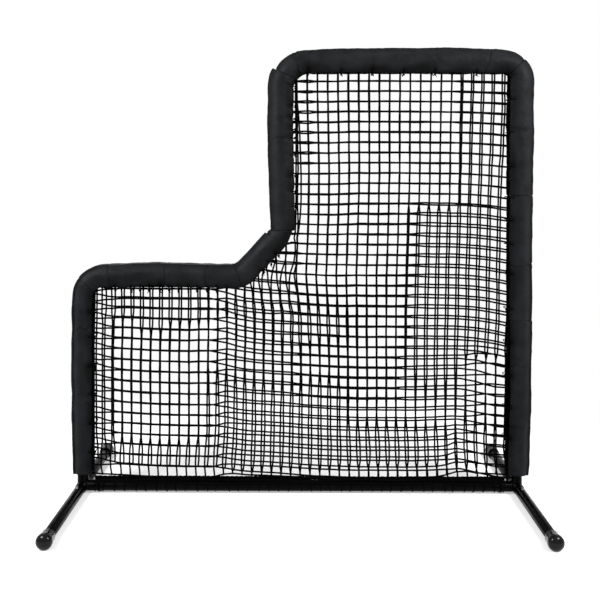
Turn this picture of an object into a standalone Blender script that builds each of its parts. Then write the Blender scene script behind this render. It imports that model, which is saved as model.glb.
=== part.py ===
"""Baseball L screen: a padded, netted tube frame with a notch, on four half legs that pull off.

The screen stands in the XZ plane at SCREEN_Y, with its low side towards -X and its front towards -Y.
Z = 0 is the floor under the four ball-nosed end caps. All sizes are in metres.
"""

import math

import bpy
import bmesh
from mathutils import Vector

MM = 0.001

# Clearances
SEAT_GAP = 0.3 * MM  # between pieces that touch on the real screen
SLIDE_GAP = 0.4 * MM  # radial, between a tube and the spigot or sleeve inside it

# Frame layout, measured along the tubes' centre lines
UPRIGHT_SPACING = 2.020
TOP_RAIL_HEIGHT = 2.005
LOW_RAIL_HEIGHT = 1.011
INNER_UPRIGHT_X = -0.090
BRACE_FOOT_X = -0.274  # where the brace would meet the low rail
BRACE_HEAD_HEIGHT = 1.216  # where the brace would meet the inner upright
LOW_CORNER_BEND = 0.105
BRACE_FOOT_BEND = 0.100
BRACE_HEAD_BEND = 0.100
TOP_LEFT_BEND = 0.120
TOP_RIGHT_BEND = 0.082
BEND_STEP = math.radians(18.0)

# Frame tube
TUBE_RADIUS = 25.4 * MM
TUBE_WALL = 1.6 * MM
TUBE_SIDES = 16
SPLICE_LENGTH = 0.150
SPLICE_WALL = 2.0 * MM
LOW_CORNER_SPLICE = 0.200  # from the low corner, along the low rail
BRACE_FOOT_SPLICE = 0.590  # from the low corner, along the low rail
BRACE_HEAD_SPLICE = 0.190  # from the brace's head, up the inner upright
TOP_LEFT_SPLICE = 0.240  # from the top left corner, along the top rail
TOP_RIGHT_SPLICE = 0.900  # from the top left corner, along the top rail
RIGHT_SPLICE = 0.905  # from the top right corner, down the right upright

# Corner fitting and half legs
FRONT_REACH = 0.665  # from the screen's plane to the end of the front leg tube
REAR_REACH = 0.554
LEG_RADIUS = 24.15 * MM
LEG_WALL = 1.6 * MM
HUB_LIP = 1.85 * MM  # how far the hub stands proud of the leg that butts against it
HUB_LENGTH = 0.110
NECK_LENGTH = 0.072  # from the hub's axis to the shoulder that the upright or rail stands on
STUB_LENGTH = 0.110  # of a spigot inside the upright or rail
STUB_ROOT = 5.0 * MM  # how deep a spigot starts inside its neck
NECK_ROOT = 4.0 * MM  # how far a neck starts past the hub's axis
LEG_SPIGOT_LENGTH = 0.130
SPIGOT_WALL = 2.5 * MM

# End caps
CAP_WALL = 9.35 * MM  # at the widest ring
CAP_COLLAR_WALL = 5.85 * MM
CAP_SLEEVE = 0.060  # from the collar's rim to the widest ring where the nose starts
CAP_NOSE = 0.026
CAP_END_WALL = 0.013
CAP_FLAT = 0.8 * MM  # how deep the underside is cut flat, to stand on
CAP_STEPS = 20

# Snap buttons and their springs
BUTTON_OFFSET = 0.060  # from the hub's shoulder to the button's axis
BUTTON_RADIUS = 4.0 * MM
BUTTON_PROUD = 4.5 * MM
BUTTON_HOLE_RADIUS = 4.5 * MM
BUTTON_FLANGE_RADIUS = 5.5 * MM
BUTTON_FLANGE_THICKNESS = 1.2 * MM
SPRING_WIDTH = 9.0 * MM
SPRING_THICKNESS = 1.2 * MM
SPRING_REACH = 0.048  # from the button's axis to the centre of the spring's nose
SPRING_TAIL = 0.007  # past the button's axis
SPRING_NOSE_RADIUS = 4.5 * MM

# Pads
PAD_RADIUS = 57.0 * MM
PAD_SIDES = 16
PAD_SEAM_GAP = 0.6 * MM
PAD_FOOT_HEIGHT = 0.088
PAD_BORE_MARGIN = 0.020  # from the frame path's ends to the ends of the cutter for the pads' bore
PAD_BELLY = 1.02  # how far a pad swells between its seams
PAD_HEM = ((0.0, 0.92), (0.004, 0.965), (0.016, 1.0))  # distance from a seam, share of radius
LOW_RAIL_SEAM_X = -0.622
RIGHT_UPPER_SEAM_HEIGHT = 1.390
RIGHT_LOWER_SEAM_HEIGHT = 0.815
LOW_CORNER_SEAM = 0.45  # share of the bend at which two pads meet
BRACE_FOOT_SEAM = 0.40
BRACE_HEAD_SEAM = 0.60
TOP_LEFT_SEAM = 0.30
TOP_RIGHT_SEAM = 0.50

# Net
NET_CORD = 3.0 * MM
NET_BORDER_DEPTH = 4.0 * MM
NET_BORDER_WIDTH = 8.0 * MM
NET_PITCH = 0.194  # every fourth mesh of the 48 mm net
NET_FOOT_GAP = 4.0 * MM  # from the top of the bottom rail to the net's lower edge
SLIT_GAP = 0.3 * MM  # between the net's border and the lips of the pads' slit

# Hem rope and the ties at the ends of the bottom rail
ROPE_RADIUS = 5.0 * MM
ROPE_WAVE = 1.6 * MM
ROPE_WAVE_LENGTH = 0.190
ROPE_POINTS = 32
TIE_INSET = 76.0 * MM  # from the upright's axis to the tie round the bottom rail
TIE_CORD_RADIUS = 1.5 * MM
TIE_KNOT_RADIUS = 2.6 * MM
TIE_SEGMENTS = 16

# Derived places
HALF_SPACING = UPRIGHT_SPACING / 2
TIE_X = HALF_SPACING - TIE_INSET
HUB_RADIUS = LEG_RADIUS + HUB_LIP
CAP_RADIUS = LEG_RADIUS + CAP_WALL
CAP_COLLAR_RADIUS = LEG_RADIUS + CAP_COLLAR_WALL
AXIS_HEIGHT = CAP_RADIUS - CAP_FLAT  # of the legs, hubs and bottom rail
SCREEN_Y = (FRONT_REACH - REAR_REACH) / 2  # puts the origin midway between the end caps' noses
TUBE_BORE = TUBE_RADIUS - TUBE_WALL
STUB_RADIUS = TUBE_BORE - SLIDE_GAP
LEG_BORE = LEG_RADIUS - LEG_WALL
LEG_SPIGOT_RADIUS = LEG_BORE - SLIDE_GAP
LEG_SPIGOT_BORE = LEG_SPIGOT_RADIUS - SPIGOT_WALL
HUB_HALF = HUB_LENGTH / 2
BUTTON_TRAVEL = LEG_RADIUS + BUTTON_PROUD - LEG_SPIGOT_RADIUS + 0.3 * MM
NET_INNER_FACE = TUBE_RADIUS + SEAT_GAP
NET_LAYER_OFFSET = NET_INNER_FACE + NET_BORDER_DEPTH / 2
SLIT_HALF = NET_INNER_FACE + NET_BORDER_DEPTH + SLIT_GAP
NET_FOOT_HEIGHT = AXIS_HEIGHT + TUBE_RADIUS + NET_FOOT_GAP
ROPE_HEIGHT = AXIS_HEIGHT + TUBE_RADIUS + SEAT_GAP + ROPE_RADIUS

# Finishes: sRGB colour, roughness, metallic
FINISHES = {
    "powder_coated_steel": ("0B0B0C", 0.22, 0.0),
    "zinc_plated_steel": ("8F9296", 0.35, 1.0),
    "spring_steel": ("5A5C60", 0.40, 1.0),
    "gloss_vinyl_cap": ("070708", 0.12, 0.0),
    "nylon_pad_cover": ("232426", 0.62, 0.0),
    "knotted_net_cord": ("0A0A0B", 0.70, 0.0),
}


def srgb_to_linear(code):
    """Turn a six-digit sRGB code into linear red, green, blue and alpha."""
    channels = [int(code[i:i + 2], 16) / 255 for i in (0, 2, 4)]
    linear = [c / 12.92 if c <= 0.04045 else ((c + 0.055) / 1.055) ** 2.4 for c in channels]
    return (*linear, 1.0)


def start_collection(name):
    """Make an empty collection linked to the scene."""
    collection = bpy.data.collections.new(name)
    bpy.context.scene.collection.children.link(collection)
    return collection


for old in list(bpy.data.objects):
    bpy.data.objects.remove(old, do_unlink=True)

PARTS = start_collection("baseball_l_screen")
CUTTERS = start_collection("cutters")


def make_material(node, finish):
    """Give a node its own Principled material in one of the finishes."""
    code, roughness, metallic = FINISHES[finish]
    material = bpy.data.materials.new(node + "_" + finish)
    material.use_nodes = True
    shader = material.node_tree.nodes["Principled BSDF"]
    shader.inputs["Base Color"].default_value = srgb_to_linear(code)
    shader.inputs["Roughness"].default_value = roughness
    shader.inputs["Metallic"].default_value = metallic
    material.diffuse_color = srgb_to_linear(code)
    return material


def keep_part(obj, finish):
    """Move an object into the parts collection, with its own material and smooth shading."""
    for collection in list(obj.users_collection):
        collection.objects.unlink(obj)
    PARTS.objects.link(obj)
    obj.data.materials.clear()
    obj.data.materials.append(make_material(obj.name, finish))
    if obj.type == "MESH":
        obj.data.shade_smooth()
        obj.data.set_sharp_from_angle(angle=math.radians(35))
    return obj


def keep_cutter(obj):
    """Move an object into the cutters collection and hide it from renders."""
    for collection in list(obj.users_collection):
        collection.objects.unlink(obj)
    CUTTERS.objects.link(obj)
    obj.hide_render = True
    obj.display_type = "WIRE"
    return obj


def add_boolean(obj, other, operation):
    """Add an exact Boolean modifier."""
    modifier = obj.modifiers.new(operation.lower() + "_" + other.name, "BOOLEAN")
    modifier.operation = operation
    modifier.solver = "EXACT"
    modifier.object = other
    return modifier


def aim(obj, position, direction):
    """Place an object and turn its own Z axis along a direction."""
    obj.location = position
    obj.rotation_mode = "QUATERNION"
    obj.rotation_quaternion = Vector(direction).to_track_quat("Z", "Y")
    return obj


def make_curve(name, points, radius, sides, caps=True, radii=None, cyclic=False):
    """Make a round-section curve through a list of points, with one radius share per point if given."""
    curve = bpy.data.curves.new(name, "CURVE")
    curve.dimensions = "3D"
    curve.bevel_depth = radius
    curve.bevel_resolution = (sides - 4) // 2
    curve.use_fill_caps = caps and not cyclic
    spline = curve.splines.new("POLY")
    spline.points.add(len(points) - 1)
    shares = radii or [1.0] * len(points)
    for target, place, share in zip(spline.points, points, shares):
        target.co = (*place, 1.0)
        target.radius = share
    spline.use_cyclic_u = cyclic
    obj = bpy.data.objects.new(name, curve)
    bpy.context.scene.collection.objects.link(obj)
    return obj


def curve_to_mesh(obj):
    """Replace a curve object by a mesh object of the same name and place, with its caps welded."""
    name = obj.name
    bpy.context.view_layer.update()
    evaluated = obj.evaluated_get(bpy.context.evaluated_depsgraph_get())
    mesh = bpy.data.meshes.new_from_object(evaluated)
    work = bmesh.new()
    work.from_mesh(mesh)
    bmesh.ops.remove_doubles(work, verts=work.verts, dist=0.00001)
    work.to_mesh(mesh)
    work.free()
    matrix = obj.matrix_world.copy()
    bpy.data.objects.remove(obj, do_unlink=True)
    mesh.name = name
    result = bpy.data.objects.new(name, mesh)
    bpy.context.scene.collection.objects.link(result)
    result.matrix_world = matrix
    return result


def make_tube(name, points, radius, wall):
    """Make a hollow tube, open at both ends, along a list of points."""
    obj = curve_to_mesh(make_curve(name, points, radius, TUBE_SIDES, caps=False))
    shell = obj.modifiers.new("tube_wall", "SOLIDIFY")
    shell.thickness = wall
    shell.offset = -1.0
    shell.use_even_offset = True
    return keep_part(obj, "powder_coated_steel")


def make_rod(name, start, end, radius, sides=TUBE_SIDES):
    """Make a solid round cutter between two points."""
    return keep_cutter(curve_to_mesh(make_curve(name, [start, end], radius, sides)))


def make_turned(name, profile, steps, position, direction):
    """Turn an open profile of (radius, height) pairs, which starts and ends on the axis, about an axis."""
    mesh = bpy.data.meshes.new(name)
    work = bmesh.new()
    ring = [work.verts.new((radius, 0.0, height)) for radius, height in profile]
    for first, second in zip(ring, ring[1:]):
        work.edges.new((first, second))
    work.to_mesh(mesh)
    work.free()
    obj = bpy.data.objects.new(name, mesh)
    bpy.context.scene.collection.objects.link(obj)
    screw = obj.modifiers.new("turn", "SCREW")
    screw.steps = steps
    screw.render_steps = steps
    screw.use_merge_vertices = True
    screw.merge_threshold = 0.00001
    screw.use_smooth_shade = True
    return aim(obj, position, direction)


def make_plate(name, outline, holes, thickness, y):
    """Make a flat plate in the XZ plane from an outline and holes, all lists of (x, z), centred on y."""
    curve = bpy.data.curves.new(name, "CURVE")
    curve.dimensions = "2D"
    curve.fill_mode = "BOTH"
    curve.extrude = thickness / 2
    for loop in [outline, *holes]:
        spline = curve.splines.new("POLY")
        spline.points.add(len(loop) - 1)
        for target, (x, z) in zip(spline.points, loop):
            target.co = (x, z, 0.0, 1.0)
        spline.use_cyclic_u = True
    obj = bpy.data.objects.new(name, curve)
    bpy.context.scene.collection.objects.link(obj)
    obj.location = (0.0, y, 0.0)
    obj.rotation_euler = (math.pi / 2, 0.0, 0.0)
    return curve_to_mesh(obj)


class FramePath:
    """Centre line of the frame: straight runs joined by round bends, as (x, z) in the screen's plane."""

    def __init__(self, corners, bends):
        """Lay the runs and bends; bends holds one radius for each inner corner."""
        self.corners = [Vector(corner) for corner in corners]
        self.pieces = []
        self.run_start = []
        self.setback = [0.0]
        for before, corner, after, radius in zip(self.corners, self.corners[1:], self.corners[2:], bends):
            turn = (corner - before).angle(after - corner)
            self.setback.append(radius * math.tan(turn / 2))
        self.setback.append(0.0)
        self.bend_start = [0.0]
        station = 0.0
        for index in range(len(self.corners) - 1):
            first, last = self.corners[index], self.corners[index + 1]
            heading = (last - first).normalized()
            start = first + heading * self.setback[index]
            length = (last - first).length - self.setback[index] - self.setback[index + 1]
            self.run_start.append(station)
            self.pieces.append((station, length, start, heading, 0.0))
            station += length
            self.bend_start.append(station)
            if index < len(bends):
                onward = (self.corners[index + 2] - last).normalized()
                cross = heading.x * onward.y - heading.y * onward.x
                turn = math.copysign(heading.angle(onward), cross)
                self.pieces.append((station, bends[index] * abs(turn), start + heading * length, heading, turn))
                station += bends[index] * abs(turn)
        self.length = station

    def place(self, station):
        """Return the point and heading at a distance along the path."""
        piece = [p for p in self.pieces if p[0] <= station + 1e-9][-1]
        begin, length, start, heading, turn = piece
        along = station - begin
        if turn == 0.0:
            return start + heading * along, heading
        radius = length / abs(turn)
        side = math.copysign(1.0, turn)
        normal = Vector((-heading.y, heading.x)) * side
        angle = along / radius
        point = start + heading * (radius * math.sin(angle)) + normal * (radius * (1 - math.cos(angle)))
        return point, heading * math.cos(angle) + normal * math.sin(angle)

    def on_run(self, corner, distance):
        """Return the station at a distance from a corner, along the run that leaves it."""
        return self.run_start[corner] + distance - self.setback[corner]

    def on_bend(self, corner, share):
        """Return the station at a share of the way round a corner's bend."""
        begin, length = self.pieces[2 * corner - 1][:2]
        return begin + length * share

    def stations(self, start, end):
        """List the stations from start to end, with steps round the bends."""
        inside = []
        for begin, length, _, _, turn in self.pieces:
            if turn == 0.0:
                continue
            count = max(2, round(abs(turn) / BEND_STEP))
            inside += [begin + length * step / count for step in range(count + 1)]
        margin = 1.0 * MM
        return [start, *[s for s in inside if start + margin < s < end - margin], end]

    def points(self, start, end):
        """List the points from start to end, as (x, y, z)."""
        return [self.world(station) for station in self.stations(start, end)]

    def world(self, station):
        """Return the point at a station as (x, y, z)."""
        point, _ = self.place(station)
        return (point.x, SCREEN_Y, point.y)


# Corner numbers along the frame path
LEFT_FOOT, LOW_CORNER, BRACE_FOOT, BRACE_HEAD, TOP_LEFT, TOP_RIGHT, RIGHT_FOOT = range(7)
FRAME = FramePath(
    [
        (-HALF_SPACING, AXIS_HEIGHT),
        (-HALF_SPACING, LOW_RAIL_HEIGHT),
        (BRACE_FOOT_X, LOW_RAIL_HEIGHT),
        (INNER_UPRIGHT_X, BRACE_HEAD_HEIGHT),
        (INNER_UPRIGHT_X, TOP_RAIL_HEIGHT),
        (HALF_SPACING, TOP_RAIL_HEIGHT),
        (HALF_SPACING, AXIS_HEIGHT),
    ],
    [LOW_CORNER_BEND, BRACE_FOOT_BEND, BRACE_HEAD_BEND, TOP_LEFT_BEND, TOP_RIGHT_BEND],
)

# Where the frame tubes butt together, under the pads
SPLICES = {
    "low_corner": FRAME.on_run(LOW_CORNER, LOW_CORNER_SPLICE),
    "brace_foot": FRAME.on_run(LOW_CORNER, BRACE_FOOT_SPLICE),
    "brace_head": FRAME.on_run(BRACE_HEAD, BRACE_HEAD_SPLICE),
    "top_left": FRAME.on_run(TOP_LEFT, TOP_LEFT_SPLICE),
    "top_right": FRAME.on_run(TOP_LEFT, TOP_RIGHT_SPLICE),
    "right": FRAME.on_run(TOP_RIGHT, RIGHT_SPLICE),
}


def build_frame_tubes():
    """Make the frame's tubes, each from one splice to the next."""
    foot = FRAME.on_run(LEFT_FOOT, NECK_LENGTH)
    right_foot = FRAME.length - NECK_LENGTH
    names = ("left_upright", "low_rail", "notch_brace", "inner_upright", "top_rail", "right_upright_upper",
             "right_upright_lower")
    joints = [foot, *SPLICES.values(), right_foot]
    for name, start, end in zip(names, joints, joints[1:]):
        path = FRAME.points(start + SEAT_GAP / 2, end - SEAT_GAP / 2)
        make_tube(name, path, TUBE_RADIUS, TUBE_WALL)
    reach = HALF_SPACING - NECK_LENGTH - SEAT_GAP
    ends = [(-reach, SCREEN_Y, AXIS_HEIGHT), (reach, SCREEN_Y, AXIS_HEIGHT)]
    make_tube("bottom_rail", ends, TUBE_RADIUS, TUBE_WALL)


def build_splice_sleeves():
    """Make the inner sleeve of each frame joint."""
    for name, station in SPLICES.items():
        path = FRAME.points(station - SPLICE_LENGTH / 2, station + SPLICE_LENGTH / 2)
        make_tube(name + "_joint_sleeve", path, STUB_RADIUS, SPLICE_WALL)


def build_corner_fitting(side, sign):
    """Make the welded corner fitting: a hub with four hollow spigots, holes for two snap buttons."""
    x = sign * HALF_SPACING
    centre = Vector((x, SCREEN_Y, AXIS_HEIGHT))
    along_leg = Vector((0.0, 1.0, 0.0))
    up = Vector((0.0, 0.0, 1.0))
    inboard = Vector((-sign, 0.0, 0.0))
    name = side + "_corner_fitting"
    leg_half = HUB_HALF + LEG_SPIGOT_LENGTH
    hub = curve_to_mesh(make_curve(name, [centre - along_leg * HUB_HALF, centre + along_leg * HUB_HALF],
                                   HUB_RADIUS, TUBE_SIDES))
    joined = [make_rod(name + "_leg_spigots", centre - along_leg * leg_half, centre + along_leg * leg_half,
                       LEG_SPIGOT_RADIUS)]
    bores = [make_rod(name + "_leg_bore", centre - along_leg * (leg_half + 2 * MM),
                      centre + along_leg * (leg_half + 2 * MM), LEG_SPIGOT_BORE)]
    for label, way in (("upright", up), ("rail", inboard)):
        stub_end = centre + way * (NECK_LENGTH + STUB_LENGTH)
        joined.append(make_rod(name + "_" + label + "_neck", centre - way * NECK_ROOT, centre + way * NECK_LENGTH,
                               TUBE_RADIUS))
        joined.append(make_rod(name + "_" + label + "_spigot", centre + way * (NECK_LENGTH - STUB_ROOT), stub_end,
                               STUB_RADIUS))
        bores.append(make_rod(name + "_" + label + "_bore", centre + way * (LEG_SPIGOT_BORE * 0.5),
                              stub_end + way * 2 * MM, STUB_RADIUS - SPIGOT_WALL))
    for other in joined:
        add_boolean(hub, other, "UNION")
    for label, way in (("front", -1.0), ("rear", 1.0)):
        hole_base = centre + along_leg * way * (HUB_HALF + BUTTON_OFFSET)
        bores.append(make_rod(name + "_" + label + "_button_hole", hole_base, hole_base + up * LEG_RADIUS,
                              BUTTON_HOLE_RADIUS, 12))
    for other in bores:
        add_boolean(hub, other, "DIFFERENCE")
    weld = hub.modifiers.new("weld", "WELD")
    weld.merge_threshold = 0.00002
    keep_part(hub, "powder_coated_steel")


def cap_profile():
    """Return the end cap's half outline as (radius, height above the rim)."""
    bore = LEG_RADIUS + SEAT_GAP
    depth = CAP_SLEEVE + CAP_NOSE - CAP_END_WALL
    profile = [
        (0.0, depth + SEAT_GAP),
        (bore, depth + SEAT_GAP),
        (bore, 0.0),
        (CAP_COLLAR_RADIUS - 1.8 * MM, 0.0),
        (CAP_COLLAR_RADIUS, 2.5 * MM),
        (CAP_COLLAR_RADIUS, 0.40 * CAP_SLEEVE),
        (CAP_RADIUS - 1.0 * MM, 0.68 * CAP_SLEEVE),
        (CAP_RADIUS, 0.80 * CAP_SLEEVE),
        (CAP_RADIUS, CAP_SLEEVE),
    ]
    nose_steps = 4
    for step in range(1, nose_steps + 1):
        angle = math.pi / 2 * step / nose_steps
        radius = 0.0 if step == nose_steps else CAP_RADIUS * math.cos(angle)
        profile.append((radius, CAP_SLEEVE + CAP_NOSE * math.sin(angle)))
    return list(reversed(profile))


def build_half_leg(side, sign, end, way, reach):
    """Make one half leg: its tube, end cap, snap button and the button's spring. way is -1 to the front."""
    x = sign * HALF_SPACING
    name = side + "_" + end
    shoulder = SCREEN_Y + way * (HUB_HALF + SEAT_GAP)
    tip = SCREEN_Y + way * reach
    button_y = SCREEN_Y + way * (HUB_HALF + BUTTON_OFFSET)
    up = Vector((0.0, 0.0, 1.0))

    leg = make_tube(name + "_leg", [(x, shoulder, AXIS_HEIGHT), (x, tip, AXIS_HEIGHT)], LEG_RADIUS, LEG_WALL)
    hole_base = Vector((x, button_y, AXIS_HEIGHT))
    hole = make_rod(name + "_leg_button_hole", hole_base, hole_base + up * HUB_RADIUS * 1.2, BUTTON_HOLE_RADIUS, 12)
    add_boolean(leg, hole, "DIFFERENCE")

    rim_y = tip + way * (CAP_END_WALL - CAP_NOSE - CAP_SLEEVE)
    cap = make_turned(name + "_leg_cap", cap_profile(), CAP_STEPS, (x, rim_y, AXIS_HEIGHT), (0.0, way, 0.0))
    add_boolean(cap, FLOOR_CUTTER, "DIFFERENCE")
    keep_part(cap, "gloss_vinyl_cap")

    # The flange lies under the round ceiling of the spigot's bore
    ceiling = math.sqrt(LEG_SPIGOT_BORE ** 2 - BUTTON_FLANGE_RADIUS ** 2) * math.cos(math.pi / TUBE_SIDES)
    flange_top = ceiling - SEAT_GAP
    flange_foot = flange_top - BUTTON_FLANGE_THICKNESS
    head = LEG_RADIUS + BUTTON_PROUD
    dome = 1.5 * MM
    button_outline = [
        (0.0, head),
        (BUTTON_RADIUS * 0.62, head - dome * 0.22),
        (BUTTON_RADIUS, head - dome),
        (BUTTON_RADIUS, flange_top),
        (BUTTON_FLANGE_RADIUS, flange_top),
        (BUTTON_FLANGE_RADIUS, flange_foot),
        (0.0, flange_foot),
    ]
    button = make_turned(name + "_snap_button", button_outline, 12, hole_base, up)
    keep_part(button, "zinc_plated_steel")
    build_button_spring(name + "_button_spring", hole_base, way, flange_foot)


def build_button_spring(name, base, way, flange_foot):
    """Make the leaf spring: two leaves that open from a round nose, drawn in the YZ plane."""
    half = SPRING_WIDTH / 2
    floor = -math.sqrt(LEG_SPIGOT_BORE ** 2 - half ** 2) * math.cos(math.pi / TUBE_SIDES) + SEAT_GAP
    top = flange_foot - SEAT_GAP
    nose_height = (top + floor) / 2
    outer = SPRING_NOSE_RADIUS
    inner = SPRING_NOSE_RADIUS - SPRING_THICKNESS
    steps = 6
    turn = [math.pi / 2 - math.pi * step / steps for step in range(steps + 1)]
    arc_out = [(SPRING_REACH + outer * math.cos(a), nose_height + outer * math.sin(a)) for a in turn]
    arc_in = [(SPRING_REACH + inner * math.cos(a), nose_height + inner * math.sin(a)) for a in reversed(turn)]
    outline = [(-SPRING_TAIL, top), *arc_out, (-SPRING_TAIL, floor),
               (-SPRING_TAIL, floor + SPRING_THICKNESS), *arc_in, (-SPRING_TAIL, top - SPRING_THICKNESS)]
    plate = make_plate(name, outline, [], SPRING_WIDTH, 0.0)
    plate.rotation_euler = (math.pi / 2, 0.0, way * math.pi / 2)
    plate.location = base
    keep_part(plate, "spring_steel")


def build_pads():
    """Make the padded sleeves: swept foam forms with a bore for the tube and a slit for the net."""
    bore_path = FRAME.points(FRAME.on_run(LEFT_FOOT, PAD_BORE_MARGIN), FRAME.length - PAD_BORE_MARGIN)
    bore = keep_cutter(curve_to_mesh(make_curve("pad_bore", bore_path, TUBE_RADIUS + SEAT_GAP, TUBE_SIDES)))
    slit = keep_cutter(make_plate("pad_slit", net_outline(0.0, AXIS_HEIGHT), [], 2 * SLIT_HALF, SCREEN_Y))
    foot = FRAME.on_run(LEFT_FOOT, PAD_FOOT_HEIGHT - AXIS_HEIGHT)
    right_foot = FRAME.length - (PAD_FOOT_HEIGHT - AXIS_HEIGHT)
    seams = [
        foot,
        FRAME.on_bend(LOW_CORNER, LOW_CORNER_SEAM),
        FRAME.on_run(LOW_CORNER, LOW_RAIL_SEAM_X + HALF_SPACING),
        FRAME.on_bend(BRACE_FOOT, BRACE_FOOT_SEAM),
        FRAME.on_bend(BRACE_HEAD, BRACE_HEAD_SEAM),
        FRAME.on_bend(TOP_LEFT, TOP_LEFT_SEAM),
        FRAME.on_bend(TOP_RIGHT, TOP_RIGHT_SEAM),
        FRAME.on_run(TOP_RIGHT, TOP_RAIL_HEIGHT - RIGHT_UPPER_SEAM_HEIGHT),
        FRAME.on_run(TOP_RIGHT, TOP_RAIL_HEIGHT - RIGHT_LOWER_SEAM_HEIGHT),
        right_foot,
    ]
    names = ("left_upright_pad", "low_rail_outer_pad", "low_rail_inner_pad", "notch_brace_pad",
             "inner_upright_pad", "top_rail_pad", "right_upper_pad", "right_middle_pad", "right_lower_pad")
    for name, start, end in zip(names, seams, seams[1:]):
        build_pad(name, start + PAD_SEAM_GAP / 2, end - PAD_SEAM_GAP / 2, bore, slit)


def build_pad(name, start, end, bore, slit):
    """Make one padded sleeve between two stations, drawn in at its hems and swollen between them."""
    hem_length = PAD_HEM[-1][0]
    inner = [s for s in FRAME.stations(start, end) if start + hem_length * 1.3 < s < end - hem_length * 1.3]
    middle = (start + end) / 2
    if not any(abs(s - middle) < 0.1 for s in inner):
        inner.append(middle)
        inner.sort()
    rings = []
    for distance, share in PAD_HEM:
        rings.append((start, distance, share))
    for station in inner:
        swell = math.sin(math.pi * (station - start) / (end - start))
        rings.append((station, 0.0, 1.0 + (PAD_BELLY - 1.0) * swell))
    for distance, share in reversed(PAD_HEM):
        rings.append((end, -distance, share))
    points = []
    for station, ahead, _ in rings:
        if abs(ahead) <= PAD_HEM[1][0]:
            point, heading = FRAME.place(station)
            point = point + heading * ahead
            points.append((point.x, SCREEN_Y, point.y))
        else:
            points.append(FRAME.world(station + ahead))
    pad = curve_to_mesh(make_curve(name, points, PAD_RADIUS, PAD_SIDES, radii=[share for _, _, share in rings]))
    add_boolean(pad, bore, "DIFFERENCE")
    add_boolean(pad, slit, "DIFFERENCE")
    keep_part(pad, "nylon_pad_cover")


def net_outline(inset, foot):
    """Return the net's outline, the frame's centre line moved inwards, closed at a height above the floor."""
    outline = []
    start = FRAME.on_run(LEFT_FOOT, foot - AXIS_HEIGHT)
    end = FRAME.length - (foot - AXIS_HEIGHT)
    for station in FRAME.stations(start, end):
        point, heading = FRAME.place(station)
        inward = Vector((heading.y, -heading.x))
        moved = point + inward * inset
        outline.append((moved.x, moved.y))
    outline[0] = (outline[0][0], foot + inset)
    outline[-1] = (outline[-1][0], foot + inset)
    return outline


def make_lattice(name, xs, zs, width, y, foot):
    """Make square-section cords at the given x and z, as a flat grid of strips with a thickness."""
    half = width / 2
    spare = 0.02
    edge = HALF_SPACING + spare
    x_lines = [-edge] + [x + offset for x in xs for offset in (-half, half)] + [edge]
    z_lines = [foot - spare] + [z + offset for z in zs for offset in (-half, half)] + [TOP_RAIL_HEIGHT + spare]
    mesh = bpy.data.meshes.new(name)
    work = bmesh.new()
    grid = [[work.verts.new((x, y - half, z)) for z in z_lines] for x in x_lines]
    for i in range(len(x_lines) - 1):
        for j in range(len(z_lines) - 1):
            if i % 2 == 0 and j % 2 == 0:
                continue
            work.faces.new((grid[i][j], grid[i + 1][j], grid[i + 1][j + 1], grid[i][j + 1]))
    work.verts.index_update()
    bmesh.ops.delete(work, geom=[v for v in work.verts if not v.link_faces], context="VERTS")
    work.to_mesh(mesh)
    work.free()
    obj = bpy.data.objects.new(name, mesh)
    bpy.context.scene.collection.objects.link(obj)
    depth = obj.modifiers.new("cord_depth", "SOLIDIFY")
    depth.thickness = width
    depth.offset = -1.0
    return obj


def build_net_layer(name, y):
    """Make one layer of net: a coarse square mesh inside a border band."""
    foot = NET_FOOT_HEIGHT
    border = make_plate(name, net_outline(0.0, foot), [net_outline(NET_BORDER_WIDTH, foot)], NET_BORDER_DEPTH, y)
    region = keep_cutter(make_plate(name + "_region", net_outline(NET_BORDER_WIDTH / 2, foot), [], 0.02, y))
    left = -HALF_SPACING
    columns = int(UPRIGHT_SPACING / NET_PITCH)
    rows = int((TOP_RAIL_HEIGHT - foot) / NET_PITCH)
    first_x = left + (UPRIGHT_SPACING - (columns - 1) * NET_PITCH) / 2
    first_z = foot + (TOP_RAIL_HEIGHT - foot - (rows - 1) * NET_PITCH) / 2
    xs = [first_x + NET_PITCH * i for i in range(columns)]
    zs = [first_z + NET_PITCH * i for i in range(rows)]
    mesh = keep_cutter(make_lattice(name + "_mesh", xs, zs, NET_CORD, y, foot))
    add_boolean(mesh, region, "INTERSECT")
    add_boolean(border, mesh, "UNION")
    keep_part(border, "knotted_net_cord")


def build_hem_rope():
    """Make the rope that lies along the top of the bottom rail, from tie to tie."""
    reach = TIE_X - TIE_CORD_RADIUS - SEAT_GAP
    points = []
    for index in range(ROPE_POINTS):
        x = -reach + 2 * reach * index / (ROPE_POINTS - 1)
        sway = ROPE_WAVE * math.sin(2 * math.pi * x / ROPE_WAVE_LENGTH)
        points.append((x, SCREEN_Y + sway, ROPE_HEIGHT))
    keep_part(curve_to_mesh(make_curve("hem_rope", points, ROPE_RADIUS, 6)), "knotted_net_cord")


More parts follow.
